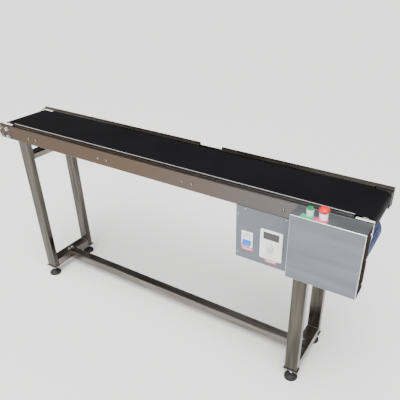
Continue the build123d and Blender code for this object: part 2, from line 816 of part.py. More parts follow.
rotor = rod_y(motor_x, motor_z, rotor_radius, gear_end + 3 * motor_wall, barrel_end - 3 * motor_wall)
rotor += rod_y(motor_x, motor_z, rotor_shaft_radius,
               gear_end - rotor_shaft_in, barrel_end + rotor_shaft_out)
hub_start = barrel_end + fan_hub_gap
hub_end = hub_start + fan_hub_width
rotor += rod_y(motor_x, motor_z, fan_hub_radius, hub_start, hub_end)
for i in range(fan_blade_count):
    blade = block(rotor_shaft_radius, fan_radius, hub_start, hub_end,
                  -fan_blade_thickness / 2, fan_blade_thickness / 2)
    rotor += Pos(motor_x, 0, motor_z) * Rot(0, 360 / fan_blade_count * i, 0) * blade
add("motor_rotor", rotor)

fan_cover = rod_y(motor_x, motor_z, motor_radius, barrel_end, motor_end)
fan_cover = fillet(fan_cover.edges().filter_by(GeomType.CIRCLE).sort_by(Axis.Y)[-1], fan_cover_round)
hollow = rod_y(motor_x, motor_z, motor_radius - fan_cover_wall, barrel_end - 1, motor_end - fan_cover_wall)
hollow = fillet(hollow.edges().filter_by(GeomType.CIRCLE).sort_by(Axis.Y)[-1],
                fan_cover_round - fan_cover_wall)
fan_cover -= hollow
for i in range(fan_slot_count):
    slot = block(fan_slot_inner, fan_slot_outer, motor_end - fan_cover_wall - 1, motor_end + 1,
                 -fan_slot_width / 2, fan_slot_width / 2)
    fan_cover -= Pos(motor_x, 0, motor_z) * Rot(0, 360 / fan_slot_count * i, 0) * slot
add("motor_fan_cover", fan_cover)

term_y = gear_end + motor_length / 2
term_top = motor_z - motor_radius
term = block(motor_x - terminal_box_size / 2, motor_x + terminal_box_size / 2,
             term_y - terminal_box_size / 2, term_y + terminal_box_size / 2,
             term_top - terminal_box_height, term_top + terminal_box_bite)
term = fillet(term.edges().filter_by(Axis.Z), terminal_box_round)
term -= rod_y(motor_x, motor_z, motor_radius + running_clearance,
              term_y - terminal_box_size, term_y + terminal_box_size)
add("motor_terminal_box", term)


# ---------------------------------------------------------------- control box
case = block(box_start, box_end, box_plate, box_depth, box_bottom, box_top)
case -= block(box_start + box_sheet, box_end - box_sheet, 0, box_depth - box_sheet,
              box_bottom + box_sheet, box_top - box_sheet)
box_screw_places = [
    (box_start + box_screw_inset, box_top - box_side_screw_drop),
    (box_start + box_screw_inset, box_bottom + box_low_screw_rise),
    (box_start + box_top_screw_run, box_top - box_screw_inset),
    (box_end - box_top_screw_run, box_top - box_screw_inset),
    (box_end - box_screw_inset, box_bottom + box_low_screw_rise),
]
for x, z in box_screw_places:
    near_left = x - box_start < box_tab + box_sheet
    near_right = box_end - x < box_tab + box_sheet
    x0 = box_start if near_left else x - box_tab
    x1 = box_end if near_right else x + box_tab
    z1 = box_top if box_top - z < box_tab + box_sheet else z + box_tab
    case += block(x0, x1, box_plate, box_plate + box_tab_thickness, z - box_tab, z1)
for x, z in box_screw_places:
    case -= rod_y(x, z, box_screw_radius, 0, box_plate + box_tab_thickness + 1)
gland_x = box_start + box_length / 2
gland_z = box_bottom + gland_height
case -= rod_y(gland_x, gland_z, gland_radius, box_depth - box_sheet - 1, box_depth + 1)
add("control_box_body", case)

front = block(box_start, box_end, 0, box_plate, box_bottom, box_top)
for x, z in box_screw_places:
    front -= rod_y(x, z, box_screw_radius, -1, box_plate + 1)
front -= block(breaker_x - breaker_width / 2, breaker_x + breaker_width / 2, -1, box_plate + 1,
               breaker_z - breaker_height / 2, breaker_z + breaker_height / 2)
front -= block(controller_x - controller_width / 2 + controller_lap,
               controller_x + controller_width / 2 - controller_lap, -1, box_plate + 1,
               controller_z - controller_height / 2 + controller_lap,
               controller_z + controller_height / 2 - controller_lap)
add("control_box_front", front)
add("control_box_screws", *[
    dome_screw_y(x, z, box_screw_radius, m4_head_radius, m5_head_height, 0,
                 box_plate + box_tab_thickness, -1)
    for x, z in box_screw_places
])

toggle_x0 = breaker_x - breaker_width / 2 + toggle_margin
toggle_x1 = breaker_x + breaker_width / 2 - toggle_margin
toggle_z = breaker_z - toggle_drop
toggle_y = 0.0
breaker = block(breaker_x - breaker_width / 2, breaker_x + breaker_width / 2,
                -breaker_proud, breaker_body_depth,
                breaker_z - breaker_height / 2, breaker_z + breaker_height / 2)
breaker = fillet(breaker.edges().filter_by(Axis.Z).group_by(Axis.Y)[0], breaker_round)
breaker -= rod_x(toggle_y, toggle_z, toggle_radius + toggle_gap, toggle_x0, toggle_x1)
breaker -= block(toggle_x0, toggle_x1, -breaker_proud - 1, toggle_y,
                 toggle_z - toggle_radius - toggle_gap, toggle_z + toggle_radius + toggle_gap)
add("breaker_body", breaker)

lever_reach = toggle_radius + toggle_length
toggle = rod_x(toggle_y, toggle_z, toggle_radius, toggle_x0 + toggle_gap, toggle_x1 - toggle_gap)
lever = block(toggle_x0 + toggle_gap, toggle_x1 - toggle_gap, -lever_reach, 0,
              -toggle_thickness / 2, toggle_thickness / 2)
lever -= block(breaker_x - toggle_split / 2, breaker_x + toggle_split / 2, -toggle_split_depth,
               -toggle_radius - 1, -toggle_thickness, toggle_thickness)
lever = Pos(0, toggle_y, toggle_z) * Rot(toggle_rest_angle, 0, 0) * lever
toggle += lever
add("breaker_toggle", toggle)

controller_face = -controller_proud
body = block(controller_x - controller_width / 2, controller_x + controller_width / 2,
             controller_face, 0, controller_z - controller_height / 2,
             controller_z + controller_height / 2)
body = fillet(body.edges().filter_by(Axis.Y), controller_corner)
body = fillet(body.edges().group_by(Axis.Y)[0], controller_edge)
inset = controller_lap + controller_gap
body += block(controller_x - controller_width / 2 + inset, controller_x + controller_width / 2 - inset,
              0, controller_body_depth, controller_z - controller_height / 2 + inset,
              controller_z + controller_height / 2 - inset)
window_z = controller_z + controller_height / 2 - window_drop - window_height / 2
body -= block(controller_x - window_width / 2, controller_x + window_width / 2,
              controller_face - 1, controller_face + window_seat,
              window_z - window_height / 2, window_z + window_height / 2)
knob_z = controller_z - knob_drop
body -= rod_y(controller_x, knob_z, knob_stem_radius + running_clearance,
              controller_face - 1, controller_face + knob_stem_length)
add("controller_body", body)
window = block(controller_x - window_width / 2, controller_x + window_width / 2,
               controller_face - window_proud, controller_face + window_seat,
               window_z - window_height / 2, window_z + window_height / 2)
add("controller_window", fillet(window.edges().group_by(Axis.Y)[0], 0.4))

knob_face = controller_face - knob_gap - knob_height
knob = rod_y(controller_x, knob_z, knob_radius, knob_face, controller_face - knob_gap)
knob = fillet(knob.edges().filter_by(GeomType.CIRCLE).sort_by(Axis.Y)[0], knob_round)
knob -= block(controller_x - knob_mark_width / 2, controller_x + knob_mark_width / 2,
              knob_face - 1, knob_face + knob_mark_depth,
              knob_z + knob_mark_start, knob_z + knob_radius + 1)
knob += rod_y(controller_x, knob_z, knob_stem_radius, controller_face - 1,
              controller_face + knob_stem_length - knob_gap)
add("speed_knob", knob)

gland = Pos(gland_x, box_depth, gland_z) * Rot(-90, 0, 0) * hexagon(gland_nut_flats, gland_nut_height)
gland_inner = box_depth - box_sheet - gland_thread
gland += rod_y(gland_x, gland_z, gland_radius, gland_inner, box_depth + gland_length)
gland -= rod_y(gland_x, gland_z, gland_bore, gland_inner - 1, box_depth + gland_length + 1)
add("cable_gland", gland)


# ---------------------------------------------------------------- push buttons on the cover
def collar(x, radius):
    """The bezel above the cover and its threaded barrel below, bored for the button."""
    top = rod_z(x, -button_y, radius, frame_top, frame_top + collar_height)
    top = fillet(top.edges().filter_by(GeomType.CIRCLE).sort_by(Axis.Z)[-1], collar_round)
    top += rod_z(x, -button_y, collar_thread_radius, frame_top - collar_thread_length, frame_top)
    return top - rod_z(x, -button_y, button_bore_radius, frame_top - collar_thread_length - 1,
                       frame_top + collar_height + 1)


start_collar = collar(start_x, collar_radius)
start_collar -= rod_z(start_x, -button_y, cap_radius + cap_rim,
                      frame_top + collar_height - start_travel - cap_seat - cap_room,
                      frame_top + collar_height + 1)
add("start_button_collar", start_collar)
cap_low = frame_top + collar_height - cap_seat
cap = rod_z(start_x, -button_y, cap_radius, cap_low, cap_low + cap_rise)
cap = fillet(cap.edges().filter_by(GeomType.CIRCLE).sort_by(Axis.Z)[-1], cap_round)
cap += rod_z(start_x, -button_y, button_bore_radius - running_clearance,
             frame_top - collar_thread_length + start_travel, cap_low)
add("start_button_cap", cap)

add("stop_button_collar", collar(stop_x, stop_collar_radius))
head_low = frame_top + collar_height + mushroom_lift
mushroom = rod_z(stop_x, -button_y, mushroom_radius, head_low, head_low + mushroom_height)
mushroom = fillet(mushroom.edges().filter_by(GeomType.CIRCLE).sort_by(Axis.Z)[-1],
                  mushroom_round)
mushroom -= rod_z(stop_x, -button_y, mushroom_stem_radius - stem_neck + running_clearance,
                  head_low - 1, head_low + mushroom_bore_depth)
add("stop_button_head", mushroom)
stem = rod_z(stop_x, -button_y, button_bore_radius - running_clearance,
             frame_top - collar_thread_length + stop_travel, head_low - loose_clearance)
stem += rod_z(stop_x, -button_y, mushroom_stem_radius - stem_neck,
              head_low - 1, head_low + mushroom_bore_depth - loose_clearance)
add("stop_button_stem", stem)

contacts = []
for x in (start_x, stop_x):
    top = frame_top - collar_thread_length - contact_block_gap
    half = contact_block_size / 2
    contacts.append(block(x - half, x + half, -button_y - half, -button_y + half,
                          top - contact_block_height, top))
holders = []
for x, item in zip((start_x, stop_x), contacts):
    neck = rod_z(x, -button_y, collar_thread_radius + contact_neck_wall,
                 frame_top - collar_thread_length - contact_block_gap,
                 frame_top - cover_sheet - contact_neck_gap)
    neck -= rod_z(x, -button_y, collar_thread_radius, 0, frame_top)
    holders.append(item + neck)
add("contact_blocks", *holders)

labels = []
for x in (start_x, stop_x):
    plate = block(x - label_left, x + label_right,
                  -cover_depth + cover_bend, -cover_depth + cover_bend + label_width,
                  frame_top, frame_top + label_thickness)
    radius = collar_radius if x == start_x else stop_collar_radius
    plate -= rod_z(x, -button_y, radius + label_gap, frame_top - 1, frame_top + 2)
    labels.append(plate)
add("button_labels", *labels)
plates = []
for x, z in ((breaker_x, breaker_z - breaker_height / 2 - box_label_gap),
             (controller_x, controller_z - controller_height / 2 - box_label_gap)):
    plates.append(block(x - box_label_length / 2, x + box_label_length / 2,
                          -label_thickness, 0, z - box_label_height, z))
add("box_label_plates", *plates)


# ---------------------------------------------------------------- write every node
os.makedirs("parts", exist_ok=True)
for name, shape in nodes.items():
    moved = Pos(-origin_x, -origin_y, 0) * shape
    export_step(moved, "parts/" + name + ".step")
    print(name, round(shape.volume, 1))
print("nodes", len(nodes), "origin", origin_x, origin_y, "axis z", axis_z, "motor z", motor_z)
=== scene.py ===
# %% [markdown]
# # A belt conveyor section
#
# The conveyor's pieces come from a imported CAD model: every part is already in its real place,
# in metres, on the floor. This lesson gives each piece the surface it really has, and replaces
# the few pieces whose finer shape is easier to make as a mesh. We start by loading the frame.

import math

import bmesh
import bpy
from mathutils import Matrix, Vector


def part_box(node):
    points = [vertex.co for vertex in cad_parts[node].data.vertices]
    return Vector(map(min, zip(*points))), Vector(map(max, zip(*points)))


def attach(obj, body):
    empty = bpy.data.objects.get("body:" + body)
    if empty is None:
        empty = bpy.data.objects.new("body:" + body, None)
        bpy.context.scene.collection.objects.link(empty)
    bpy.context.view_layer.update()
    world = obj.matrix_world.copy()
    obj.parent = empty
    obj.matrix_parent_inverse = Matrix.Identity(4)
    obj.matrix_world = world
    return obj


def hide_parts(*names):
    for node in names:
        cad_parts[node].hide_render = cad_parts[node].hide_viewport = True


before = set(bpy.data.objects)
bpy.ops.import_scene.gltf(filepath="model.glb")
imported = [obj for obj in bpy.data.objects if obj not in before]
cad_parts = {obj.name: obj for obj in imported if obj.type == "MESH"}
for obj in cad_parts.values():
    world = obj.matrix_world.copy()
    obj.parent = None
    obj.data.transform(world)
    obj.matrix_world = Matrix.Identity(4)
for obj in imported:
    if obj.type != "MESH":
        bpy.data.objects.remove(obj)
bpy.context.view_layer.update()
MM = 0.001

# %% [markdown]
# ## Colours and nodes
#
# Colours are easiest to read as the hex values a paint program shows, but a shader wants linear
# light. One function turns one into the other. A second one adds a node, sets its inputs and
# joins them up, so that a material below reads as a short list of what it is made of.

# %% Colour and node helpers


def linear(hex_colour):
    """An sRGB hex colour as linear RGBA."""
    channels = [int(hex_colour[i:i + 2], 16) / 255 for i in (1, 3, 5)]
    return [c / 12.92 if c <= 0.04045 else ((c + 0.055) / 1.055) ** 2.4 for c in channels] + [1.0]


def add_node(tree, kind, settings=None, **inputs):
    """A node of this kind. A tuple (node, output) is linked to the input, anything else is its value."""
    node = tree.nodes.new("ShaderNode" + kind)
    for name, value in (settings or {}).items():
        setattr(node, name, value)
    for name, value in inputs.items():
        found = [s for s in node.inputs if s.name.replace(" ", "_") == name and s.enabled]
        if isinstance(value, tuple):
            tree.links.new(value[0].outputs[value[1]], found[0])
        else:
            found[0].default_value = value
    return node


def new_material(name, **surface):
    """An empty material with a Principled surface, and its tree and surface node."""
    material = bpy.data.materials.new(name)
    material.use_nodes = True
    tree = material.node_tree
    shader = tree.nodes["Principled BSDF"]
    for socket, value in surface.items():
        shader.inputs[socket.replace("_", " ")].default_value = value
    return material, tree, shader


def paint(material, *names):
    """Gives CAD nodes a material."""
    for name in names:
        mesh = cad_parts[name].data
        mesh.materials.clear()
        mesh.materials.append(material)


print("helpers ready")

# %% [markdown]
# ## The camera
#
# The camera looks down along the conveyor from the drive end, a little above head height for a
# 750 mm stand. Its place is measured from the CAD box: where the lens stands, how far it turns
# and tips, and a small roll as a hand-held camera has.

# %% Camera
CAMERA_PLACE = Vector((1.012, -1.2328, 1.4142))
CAMERA_TURN = math.radians(-29.13)
CAMERA_TIP = math.radians(-31.24)
CAMERA_ROLL = math.radians(0.9)
SENSOR_WIDTH = 36
FOCAL_LENGTH = 41.36
LENS_SHIFT = (-0.0928, 0.0537)

forward = Vector((math.sin(CAMERA_TURN) * math.cos(CAMERA_TIP),
                  math.cos(CAMERA_TURN) * math.cos(CAMERA_TIP),
                  math.sin(CAMERA_TIP)))
level_right = Vector((math.cos(CAMERA_TURN), -math.sin(CAMERA_TURN), 0))
level_up = level_right.cross(forward)
right = level_right * math.cos(CAMERA_ROLL) + level_up * math.sin(CAMERA_ROLL)
up = level_up * math.cos(CAMERA_ROLL) - level_right * math.sin(CAMERA_ROLL)

camera_data = bpy.data.cameras.new("camera")
camera_data.sensor_width = SENSOR_WIDTH
camera_data.lens = FOCAL_LENGTH
camera_data.shift_x, camera_data.shift_y = LENS_SHIFT
camera = bpy.data.objects.new("camera", camera_data)
camera.matrix_world = Matrix((right, up, -forward)).transposed().to_4x4()
camera.location = CAMERA_PLACE
bpy.context.scene.collection.objects.link(camera)
bpy.context.scene.camera = camera
print("camera at", list(camera.location))

# %% [markdown]
# ## Floor and light
#
# Steel only looks like steel when it has bright and dark things to mirror. The floor is pale, so
# upright faces, which mirror the floor, come out light. The room above the horizon is dim, so
# the tops of the flanges and covers, which mirror the room, come out dark. One broad soft sun
# lights the floor evenly, and two wide lamps put long highlights on the rounded edges.

# %% Floor
FLOOR_HALF_WIDTH = 60.0

floor_mesh = bpy.data.meshes.new("floor")
shape = bmesh.new()
bmesh.ops.create_grid(shape, x_segments=1, y_segments=1, size=FLOOR_HALF_WIDTH)
shape.to_mesh(floor_mesh)
shape.free()
floor = bpy.data.objects.new("floor", floor_mesh)
bpy.context.scene.collection.objects.link(floor)
floor_material, tree, shader = new_material("pale_studio_floor", Roughness=0.9)
shader.inputs["Base Color"].default_value = linear("#f4f3f1")
floor_mesh.materials.append(floor_material)
print("floor", FLOOR_HALF_WIDTH * 2, "m wide")

# %% Room and lamps
world = bpy.data.worlds.new("studio")
bpy.context.scene.world = world
world.use_nodes = True
sky = world.node_tree
background = sky.nodes["Background"]
direction = add_node(sky, "TexCoord")
split = add_node(sky, "SeparateXYZ", Vector=(direction, "Generated"))
room = add_node(sky, "ValToRGB", Fac=(split, "Z"))
room.color_ramp.elements[0].color = linear("#8d8a86")
room.color_ramp.elements[1].color = linear("#ffffff")
room.color_ramp.elements[1].position = 0.88
room.color_ramp.elements.new(0.1).color = linear("#6f6d6b")
room.color_ramp.elements.new(0.62).color = linear("#5b5a59")
sky.links.new(room.outputs["Color"], background.inputs["Color"])
background.inputs["Strength"].default_value = 1.0


def add_lamp(kind, name, place, target, power, **settings):
    """A lamp of a kind that faces a point."""
    lamp = bpy.data.lights.new(name, kind)
    lamp.energy = power
    for setting, value in settings.items():
        setattr(lamp, setting, value)
    holder = bpy.data.objects.new(name, lamp)
    holder.location = place
    holder.rotation_euler = (Vector(target) - Vector(place)).to_track_quat("-Z", "Y").to_euler()
    bpy.context.scene.collection.objects.link(holder)


add_lamp("SUN", "soft_sun", (1.2, -2.0, 5.0), (0, 0, 0), 6.0, angle=math.radians(50))
add_lamp("AREA", "key_lamp", (0.6, -2.4, 1.9), (0.2, 0, 0.6), 30, size=1.6)
add_lamp("AREA", "tail_lamp", (-2.6, -1.0, 1.4), (-0.5, 0, 0.5), 22, size=1.4)
print("floor and lamps ready")

# %% [markdown]
# ## Stainless steel
#
# The frames and covers are folded from stainless sheet with a brushed face: the grain is a fine
# streak that runs one way. It could be an image, but a noise pattern stretched along the grain
# does the same at any size: long in one direction, some tenths of a millimetre in the other.
# The real streaks are 0.1 to 0.2 mm apart, too fine to show, so they are drawn at about 1 mm.
# Handling leaves cloudy patches that are a little duller, and those vary the roughness. Drawn
# tube also has wide pale and dark bands along its length, from the rollers that formed it.

# %% Brushed and polished stainless


def stainless(name, colour, roughness, grain_axis, grain_mm=1.2, streak_mm=90, depth=0.05, band_mm=0,
              band_change=0.28, streak_tone=0.84):
    """Brushed stainless with its grain along one axis of the object."""
    material, tree, shader = new_material(name, Metallic=1.0)
    place = add_node(tree, "TexCoord")
    sizes = [1000 / grain_mm] * 3
    sizes["XYZ".index(grain_axis)] = 1000 / streak_mm
    stretched = add_node(tree, "Mapping", Vector=(place, "Object"), Scale=sizes)
    grain = add_node(tree, "TexNoise", Vector=(stretched, 0), Scale=1.0, Detail=3.0)
    clouds = add_node(tree, "TexNoise", Vector=(place, "Object"), Scale=6.0, Detail=3.0)
    streak = [c * streak_tone for c in linear(colour)[:3]] + [1.0]
    tone = add_node(tree, "MixRGB", Fac=(grain, "Fac"), Color1=streak, Color2=linear(colour))
    if band_mm:
        wide = [1000 / band_mm] * 3
        wide["XYZ".index(grain_axis)] = 1000 / (band_mm * 16)
        drawn = add_node(tree, "Mapping", Vector=(place, "Object"), Scale=wide)
        bands = add_node(tree, "TexNoise", Vector=(drawn, 0), Scale=1.0, Detail=1.0)
        level = add_node(tree, "MapRange", Value=(bands, "Fac"), From_Min=0.35, From_Max=0.65,
                         To_Min=1 - band_change, To_Max=1 + band_change)
        tone = add_node(tree, "VectorMath", {"operation": "SCALE"}, Vector=(tone, 0), Scale=(level, 0))
    wear = add_node(tree, "MapRange", Value=(clouds, "Fac"), From_Min=0.3, From_Max=0.7,
                    To_Min=roughness * 0.8, To_Max=roughness * 1.25)
    lift = add_node(tree, "Bump", Height=(grain, "Fac"), Strength=depth, Distance=0.0005)
    tree.links.new(tone.outputs[0], shader.inputs["Base Color"])
    tree.links.new(wear.outputs[0], shader.inputs["Roughness"])
    tree.links.new(lift.outputs[0], shader.inputs["Normal"])
    return material, tree, shader, tone


sheet_steel = stainless("brushed_stainless_sheet", "#7d7974", 0.32, "X")[0]
# The legs' tube has a darker colour than the same tube in the crossbars and stretcher: painted shade.
leg_tube_steel_painted_shade = stainless("polished_stainless_tube", "#54504a", 0.2, "Z", depth=0.02, band_mm=14)[0]
cross_tube_steel = stainless("polished_stainless_cross_tube", "#7a756d", 0.22, "Y",
                             depth=0.02, band_mm=14)[0]
long_tube_steel = stainless("polished_stainless_long_tube", "#7c766f", 0.24, "X",
                            depth=0.02, band_mm=14)[0]
print("sheet and tube steel ready")

# %% [markdown]
# The near side frame's colour is mixed along the length of the object: a dark warm brown at the
# tail end fades to a cool grey towards the drive end. It is a painted reflection of warm
# surroundings, with painted shade at the tail end.

# %% Stainless for the near frame, with a painted warm reflection
LIP_FOOT = 0.0630
LIP_FADE = 0.0008
FRAME_ROUGHNESS = 0.34

tail_end, drive_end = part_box("near_side_frame")
near_steel, tree, shader, tone = stainless("straw_tinted_stainless", "#94908c", FRAME_ROUGHNESS, "X")
place = add_node(tree, "TexCoord")
along = add_node(tree, "SeparateXYZ", Vector=(place, "Object"))
share = add_node(tree, "MapRange", Value=(along, "X"), From_Min=tail_end.x, From_Max=drive_end.x)
# The ramp along the length is a painted warm reflection, darkest at the tail end as painted shade.
tint = add_node(tree, "ValToRGB", Fac=(share, 0))
tint.color_ramp.elements[0].color = linear("#765939")
tint.color_ramp.elements[1].color = linear("#b1b7c0")
tint.color_ramp.elements.new(0.45).color = linear("#9a8169")
painted_warm_reflection = add_node(tree, "MixRGB", {"blend_type": "MULTIPLY"}, Fac=0.9, Color1=(tone, 0), Color2=(tint, 0))

# The lip beside the belt gets a painted highlight, near-white above its foot, and is a little rougher.
lip = tail_end.z + LIP_FOOT
lip_highlight_mask = add_node(tree, "MapRange", Value=(along, "Z"), From_Min=lip, From_Max=lip + LIP_FADE)
bright = add_node(tree, "MixRGB", Fac=(lip_highlight_mask, 0), Color1=(painted_warm_reflection, 0), Color2=linear("#f0f0f2"))
gloss = add_node(tree, "MapRange", Value=(lip_highlight_mask, 0), To_Min=FRAME_ROUGHNESS, To_Max=0.6)
tree.links.new(bright.outputs[0], shader.inputs["Base Color"])
tree.links.new(gloss.outputs[0], shader.inputs["Roughness"])
print("near frame tinted from x", round(tail_end.x, 3), "to", round(drive_end.x, 3))

# %% [markdown]
# The drive cover is bent from satin sheet. Its front folds get a painted highlight, its side flange
# a brown painted shade, and its lid a lighter colour as painted light. Each of these is a
# band at a known place on the cover, so a ramp along one axis of the object marks it.

# %% Painted highlight on the folds, painted shade on the side and painted light on the lid of the drive cover
SIDE_SHADE_FADE = (0.0012, 0.0004)
LID_LIGHT_FADE = (0.0004, 0.0001)
FOLD_HIGHLIGHT_DEPTH = 0.004
FOLD_HIGHLIGHT_STOPS = ((0.02, 0), (0.08, 1), (0.5, 1), (0.62, 0))

cover_low, cover_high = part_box("drive_cover")
cover_steel, tree, shader, tone = stainless("satin_stainless_cover", "#7f858d", 0.36, "X", grain_mm=1.6,
                                            depth=0.04, band_mm=34, band_change=0.09, streak_tone=0.72)
place = add_node(tree, "TexCoord")
along = add_node(tree, "SeparateXYZ", Vector=(place, "Object"))
# The +X side flange: brown painted shade, on its colour and on its specular tint.
side = add_node(tree, "MapRange", Value=(along, "X"), From_Min=cover_high.x - SIDE_SHADE_FADE[0],
                From_Max=cover_high.x - SIDE_SHADE_FADE[1])
shaded = add_node(tree, "MixRGB", {"blend_type": "MULTIPLY"}, Fac=(side, 0), Color1=(tone, 0),
                  Color2=linear("#9a8d83"))
side_shade_specular = add_node(tree, "MixRGB", Fac=(side, 0), Color1=linear("#ffffff"), Color2=linear("#7d7168"))
tree.links.new(side_shade_specular.outputs[0], shader.inputs["Specular Tint"])
# The lid: a lighter colour on the top face as painted light.
lid = add_node(tree, "MapRange", Value=(along, "Z"), From_Min=cover_high.z - LID_LIGHT_FADE[0],
               From_Max=cover_high.z - LID_LIGHT_FADE[1])
lid_painted_light = add_node(tree, "MixRGB", Fac=(lid, 0), Color1=(shaded, 0), Color2=linear("#cdd2d9"))
# A thin band just behind the front face, at its folds: near-white painted highlight.
depth = add_node(tree, "MapRange", Value=(along, "Y"), From_Min=cover_low.y,
                 From_Max=cover_low.y + FOLD_HIGHLIGHT_DEPTH)
rim = add_node(tree, "ValToRGB", Fac=(depth, 0))
for place_at, level in FOLD_HIGHLIGHT_STOPS:
    stop = rim.color_ramp.elements.new(place_at)
    stop.color = (level, level, level, 1)
rim.color_ramp.elements[0].color = rim.color_ramp.elements[-1].color = (0, 0, 0, 1)
fold_highlighted = add_node(tree, "MixRGB", Fac=(rim, "Color"), Color1=(lid_painted_light, 0), Color2=linear("#eef1f5"))
tree.links.new(fold_highlighted.outputs[0], shader.inputs["Base Color"])

paint(near_steel, "near_side_frame")
paint(sheet_steel, "far_side_frame", "far_guard_strips", "takeup_end_plates", "slider_bed",
      "motor_mount_plate", "leg_end_plates")
paint(cover_steel, "drive_cover")
paint(leg_tube_steel_painted_shade, "stand_legs")
paint(cross_tube_steel, "upper_crossbars", "lower_crossbars", "cross_members")
paint(long_tube_steel, "stretcher")
print("stainless on", len([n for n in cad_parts.values() if n.data.materials]), "nodes")

# %% [markdown]
# ## Other metals
#
# Bolts are zinc plated: bright, a little blue, with a finish that varies from grain to grain.
# Shafts are ground steel, pulleys turned aluminium, the gearhead a casting with a sandy skin.
# They differ only in colour, roughness and the size of their surface grain, so one function
# makes them all.

# %% Plated, ground, turned and cast metal


def metal(name, colour, roughness, grain_mm, depth):
    """Bare metal with an even grain."""
    material, tree, shader = new_material(name, Metallic=1.0)
    place = add_node(tree, "TexCoord")
    grain = add_node(tree, "TexNoise", Vector=(place, "Object"), Scale=1000 / grain_mm, Detail=4.0)
    shade = [c * 0.75 for c in linear(colour)[:3]] + [1.0]
    tone = add_node(tree, "MixRGB", Fac=(grain, "Fac"), Color1=shade, Color2=linear(colour))
    dull = add_node(tree, "MapRange", Value=(grain, "Fac"), To_Min=roughness * 0.7,
                    To_Max=roughness * 1.3)
    lift = add_node(tree, "Bump", Height=(grain, "Fac"), Strength=depth, Distance=0.0004)
    tree.links.new(tone.outputs[0], shader.inputs["Base Color"])
    tree.links.new(dull.outputs[0], shader.inputs["Roughness"])
    tree.links.new(lift.outputs[0], shader.inputs["Normal"])
    return material


zinc_plate = metal("bright_zinc_plate", "#d3d6d8", 0.22, 4.0, 0.05)
ground_steel = metal("ground_steel_shaft", "#b4b6b8", 0.16, 1.5, 0.02)
turned_aluminium = metal("turned_aluminium", "#d0d1d2", 0.3, 1.0, 0.06)
cast_aluminium = metal("cast_aluminium", "#a5a7a9", 0.55, 2.0, 0.35)
laminated_steel = metal("laminated_motor_steel", "#5a5754", 0.5, 0.8, 0.2)
bearing_steel = metal("polished_bearing_steel", "#d6d7d8", 0.12, 3.0, 0.01)
dull_screw = metal("passivated_stainless_screw", "#948b7f", 0.42, 3.0, 0.05)
weld_steel = metal("brushed_weld_bead", "#8f887c", 0.42, 2.0, 0.2)

paint(ground_steel, "drive_roller_shell", "tail_roller_shell", "drive_roller_shaft",
      "tail_roller_shaft", "gearhead_output_shaft")
paint(turned_aluminium, "roller_pulley", "motor_pulley")
paint(cast_aluminium, "gearhead_housing")
paint(laminated_steel, "motor_stator", "motor_rotor")
paint(bearing_steel, "drive_bearings")
paint(zinc_plate, "takeup_rods", "motor_bolts", "takeup_clamp_bolts", "takeup_nuts", "stretcher_bolts",
      "foot_lock_nuts", "cross_member_bolts", "cover_screws", "control_box_screws")
print("bare metals ready")

# %% [markdown]
# ## The belt
#
# The conveyor belt is black PVC on a woven core. Its face is matte with a very fine fabric
# impression pressed in by the release cloth, and dust dulls it in soft patches. Two waves at
# right angles make the impression. The real threads are 0.6 mm apart, drawn here at 1.5 mm.

# %% Black PVC belt
THREAD_SCALE = 1000 / 1.5 / 20

black_pvc, tree, shader = new_material("black_pvc_belt", Roughness=0.55)
shader.inputs["Specular IOR Level"].default_value = 0.15
place = add_node(tree, "TexCoord")
weft = add_node(tree, "TexWave", {"bands_direction": "X"}, Vector=(place, "Object"), Scale=THREAD_SCALE)
warp = add_node(tree, "TexWave", {"bands_direction": "Y"}, Vector=(place, "Object"), Scale=THREAD_SCALE)
weave = add_node(tree, "Math", {"operation": "MULTIPLY"})
tree.links.new(weft.outputs["Fac"], weave.inputs[0])
tree.links.new(warp.outputs["Fac"], weave.inputs[1])
dust = add_node(tree, "TexNoise", Vector=(place, "Object"), Scale=7.0, Detail=5.0)
grime = add_node(tree, "MixRGB", Fac=(dust, "Fac"), Color1=linear("#050507"), Color2=linear("#0b0b0e"))
dull = add_node(tree, "MapRange", Value=(dust, "Fac"), From_Min=0.3, From_Max=0.7, To_Min=0.5, To_Max=0.68)
press = add_node(tree, "Bump", Height=(weave, 0), Strength=0.12, Distance=0.0003)
tree.links.new(grime.outputs[0], shader.inputs["Base Color"])
tree.links.new(dull.outputs[0], shader.inputs["Roughness"])
tree.links.new(press.outputs[0], shader.inputs["Normal"])
paint(black_pvc, "conveyor_belt")
print("belt ready")

# %% [markdown]
# ## Plastics and paint
#
# Moulded plastic has a slight orange-peel wave and tiny differences in gloss. Nylon and rubber
# are duller, with a sandy skin from the mould. Enamel on the motor and the control box is the
# same idea with a stronger wave. One function covers them: what changes is the colour, the
# roughness, and how wide and deep the wave is.

# %% Moulded plastic, rubber and enamel


def coated(name, colour, roughness, wave_mm, depth, shade=0.88, coat=0.0, specular=0.5):
    """A moulded or sprayed surface with a wavy skin and uneven gloss."""
    material, tree, shader = new_material(name)
    shader.inputs["Coat Weight"].default_value = coat
    shader.inputs["Specular IOR Level"].default_value = specular
    place = add_node(tree, "TexCoord")
    wave = add_node(tree, "TexNoise", Vector=(place, "Object"), Scale=1000 / wave_mm, Detail=2.0)
    cloud = add_node(tree, "TexNoise", Vector=(place, "Object"), Scale=25.0, Detail=3.0)
    darker = [c * shade for c in linear(colour)[:3]] + [1.0]
    tone = add_node(tree, "MixRGB", Fac=(cloud, "Fac"), Color1=darker, Color2=linear(colour))
    gloss = add_node(tree, "MapRange", Value=(cloud, "Fac"), To_Min=roughness * 0.8,
                     To_Max=min(1.0, roughness * 1.2))
    lift = add_node(tree, "Bump", Height=(wave, "Fac"), Strength=depth, Distance=0.0004)
    tree.links.new(tone.outputs[0], shader.inputs["Base Color"])
    tree.links.new(gloss.outputs[0], shader.inputs["Roughness"])
    tree.links.new(lift.outputs[0], shader.inputs["Normal"])
    return material


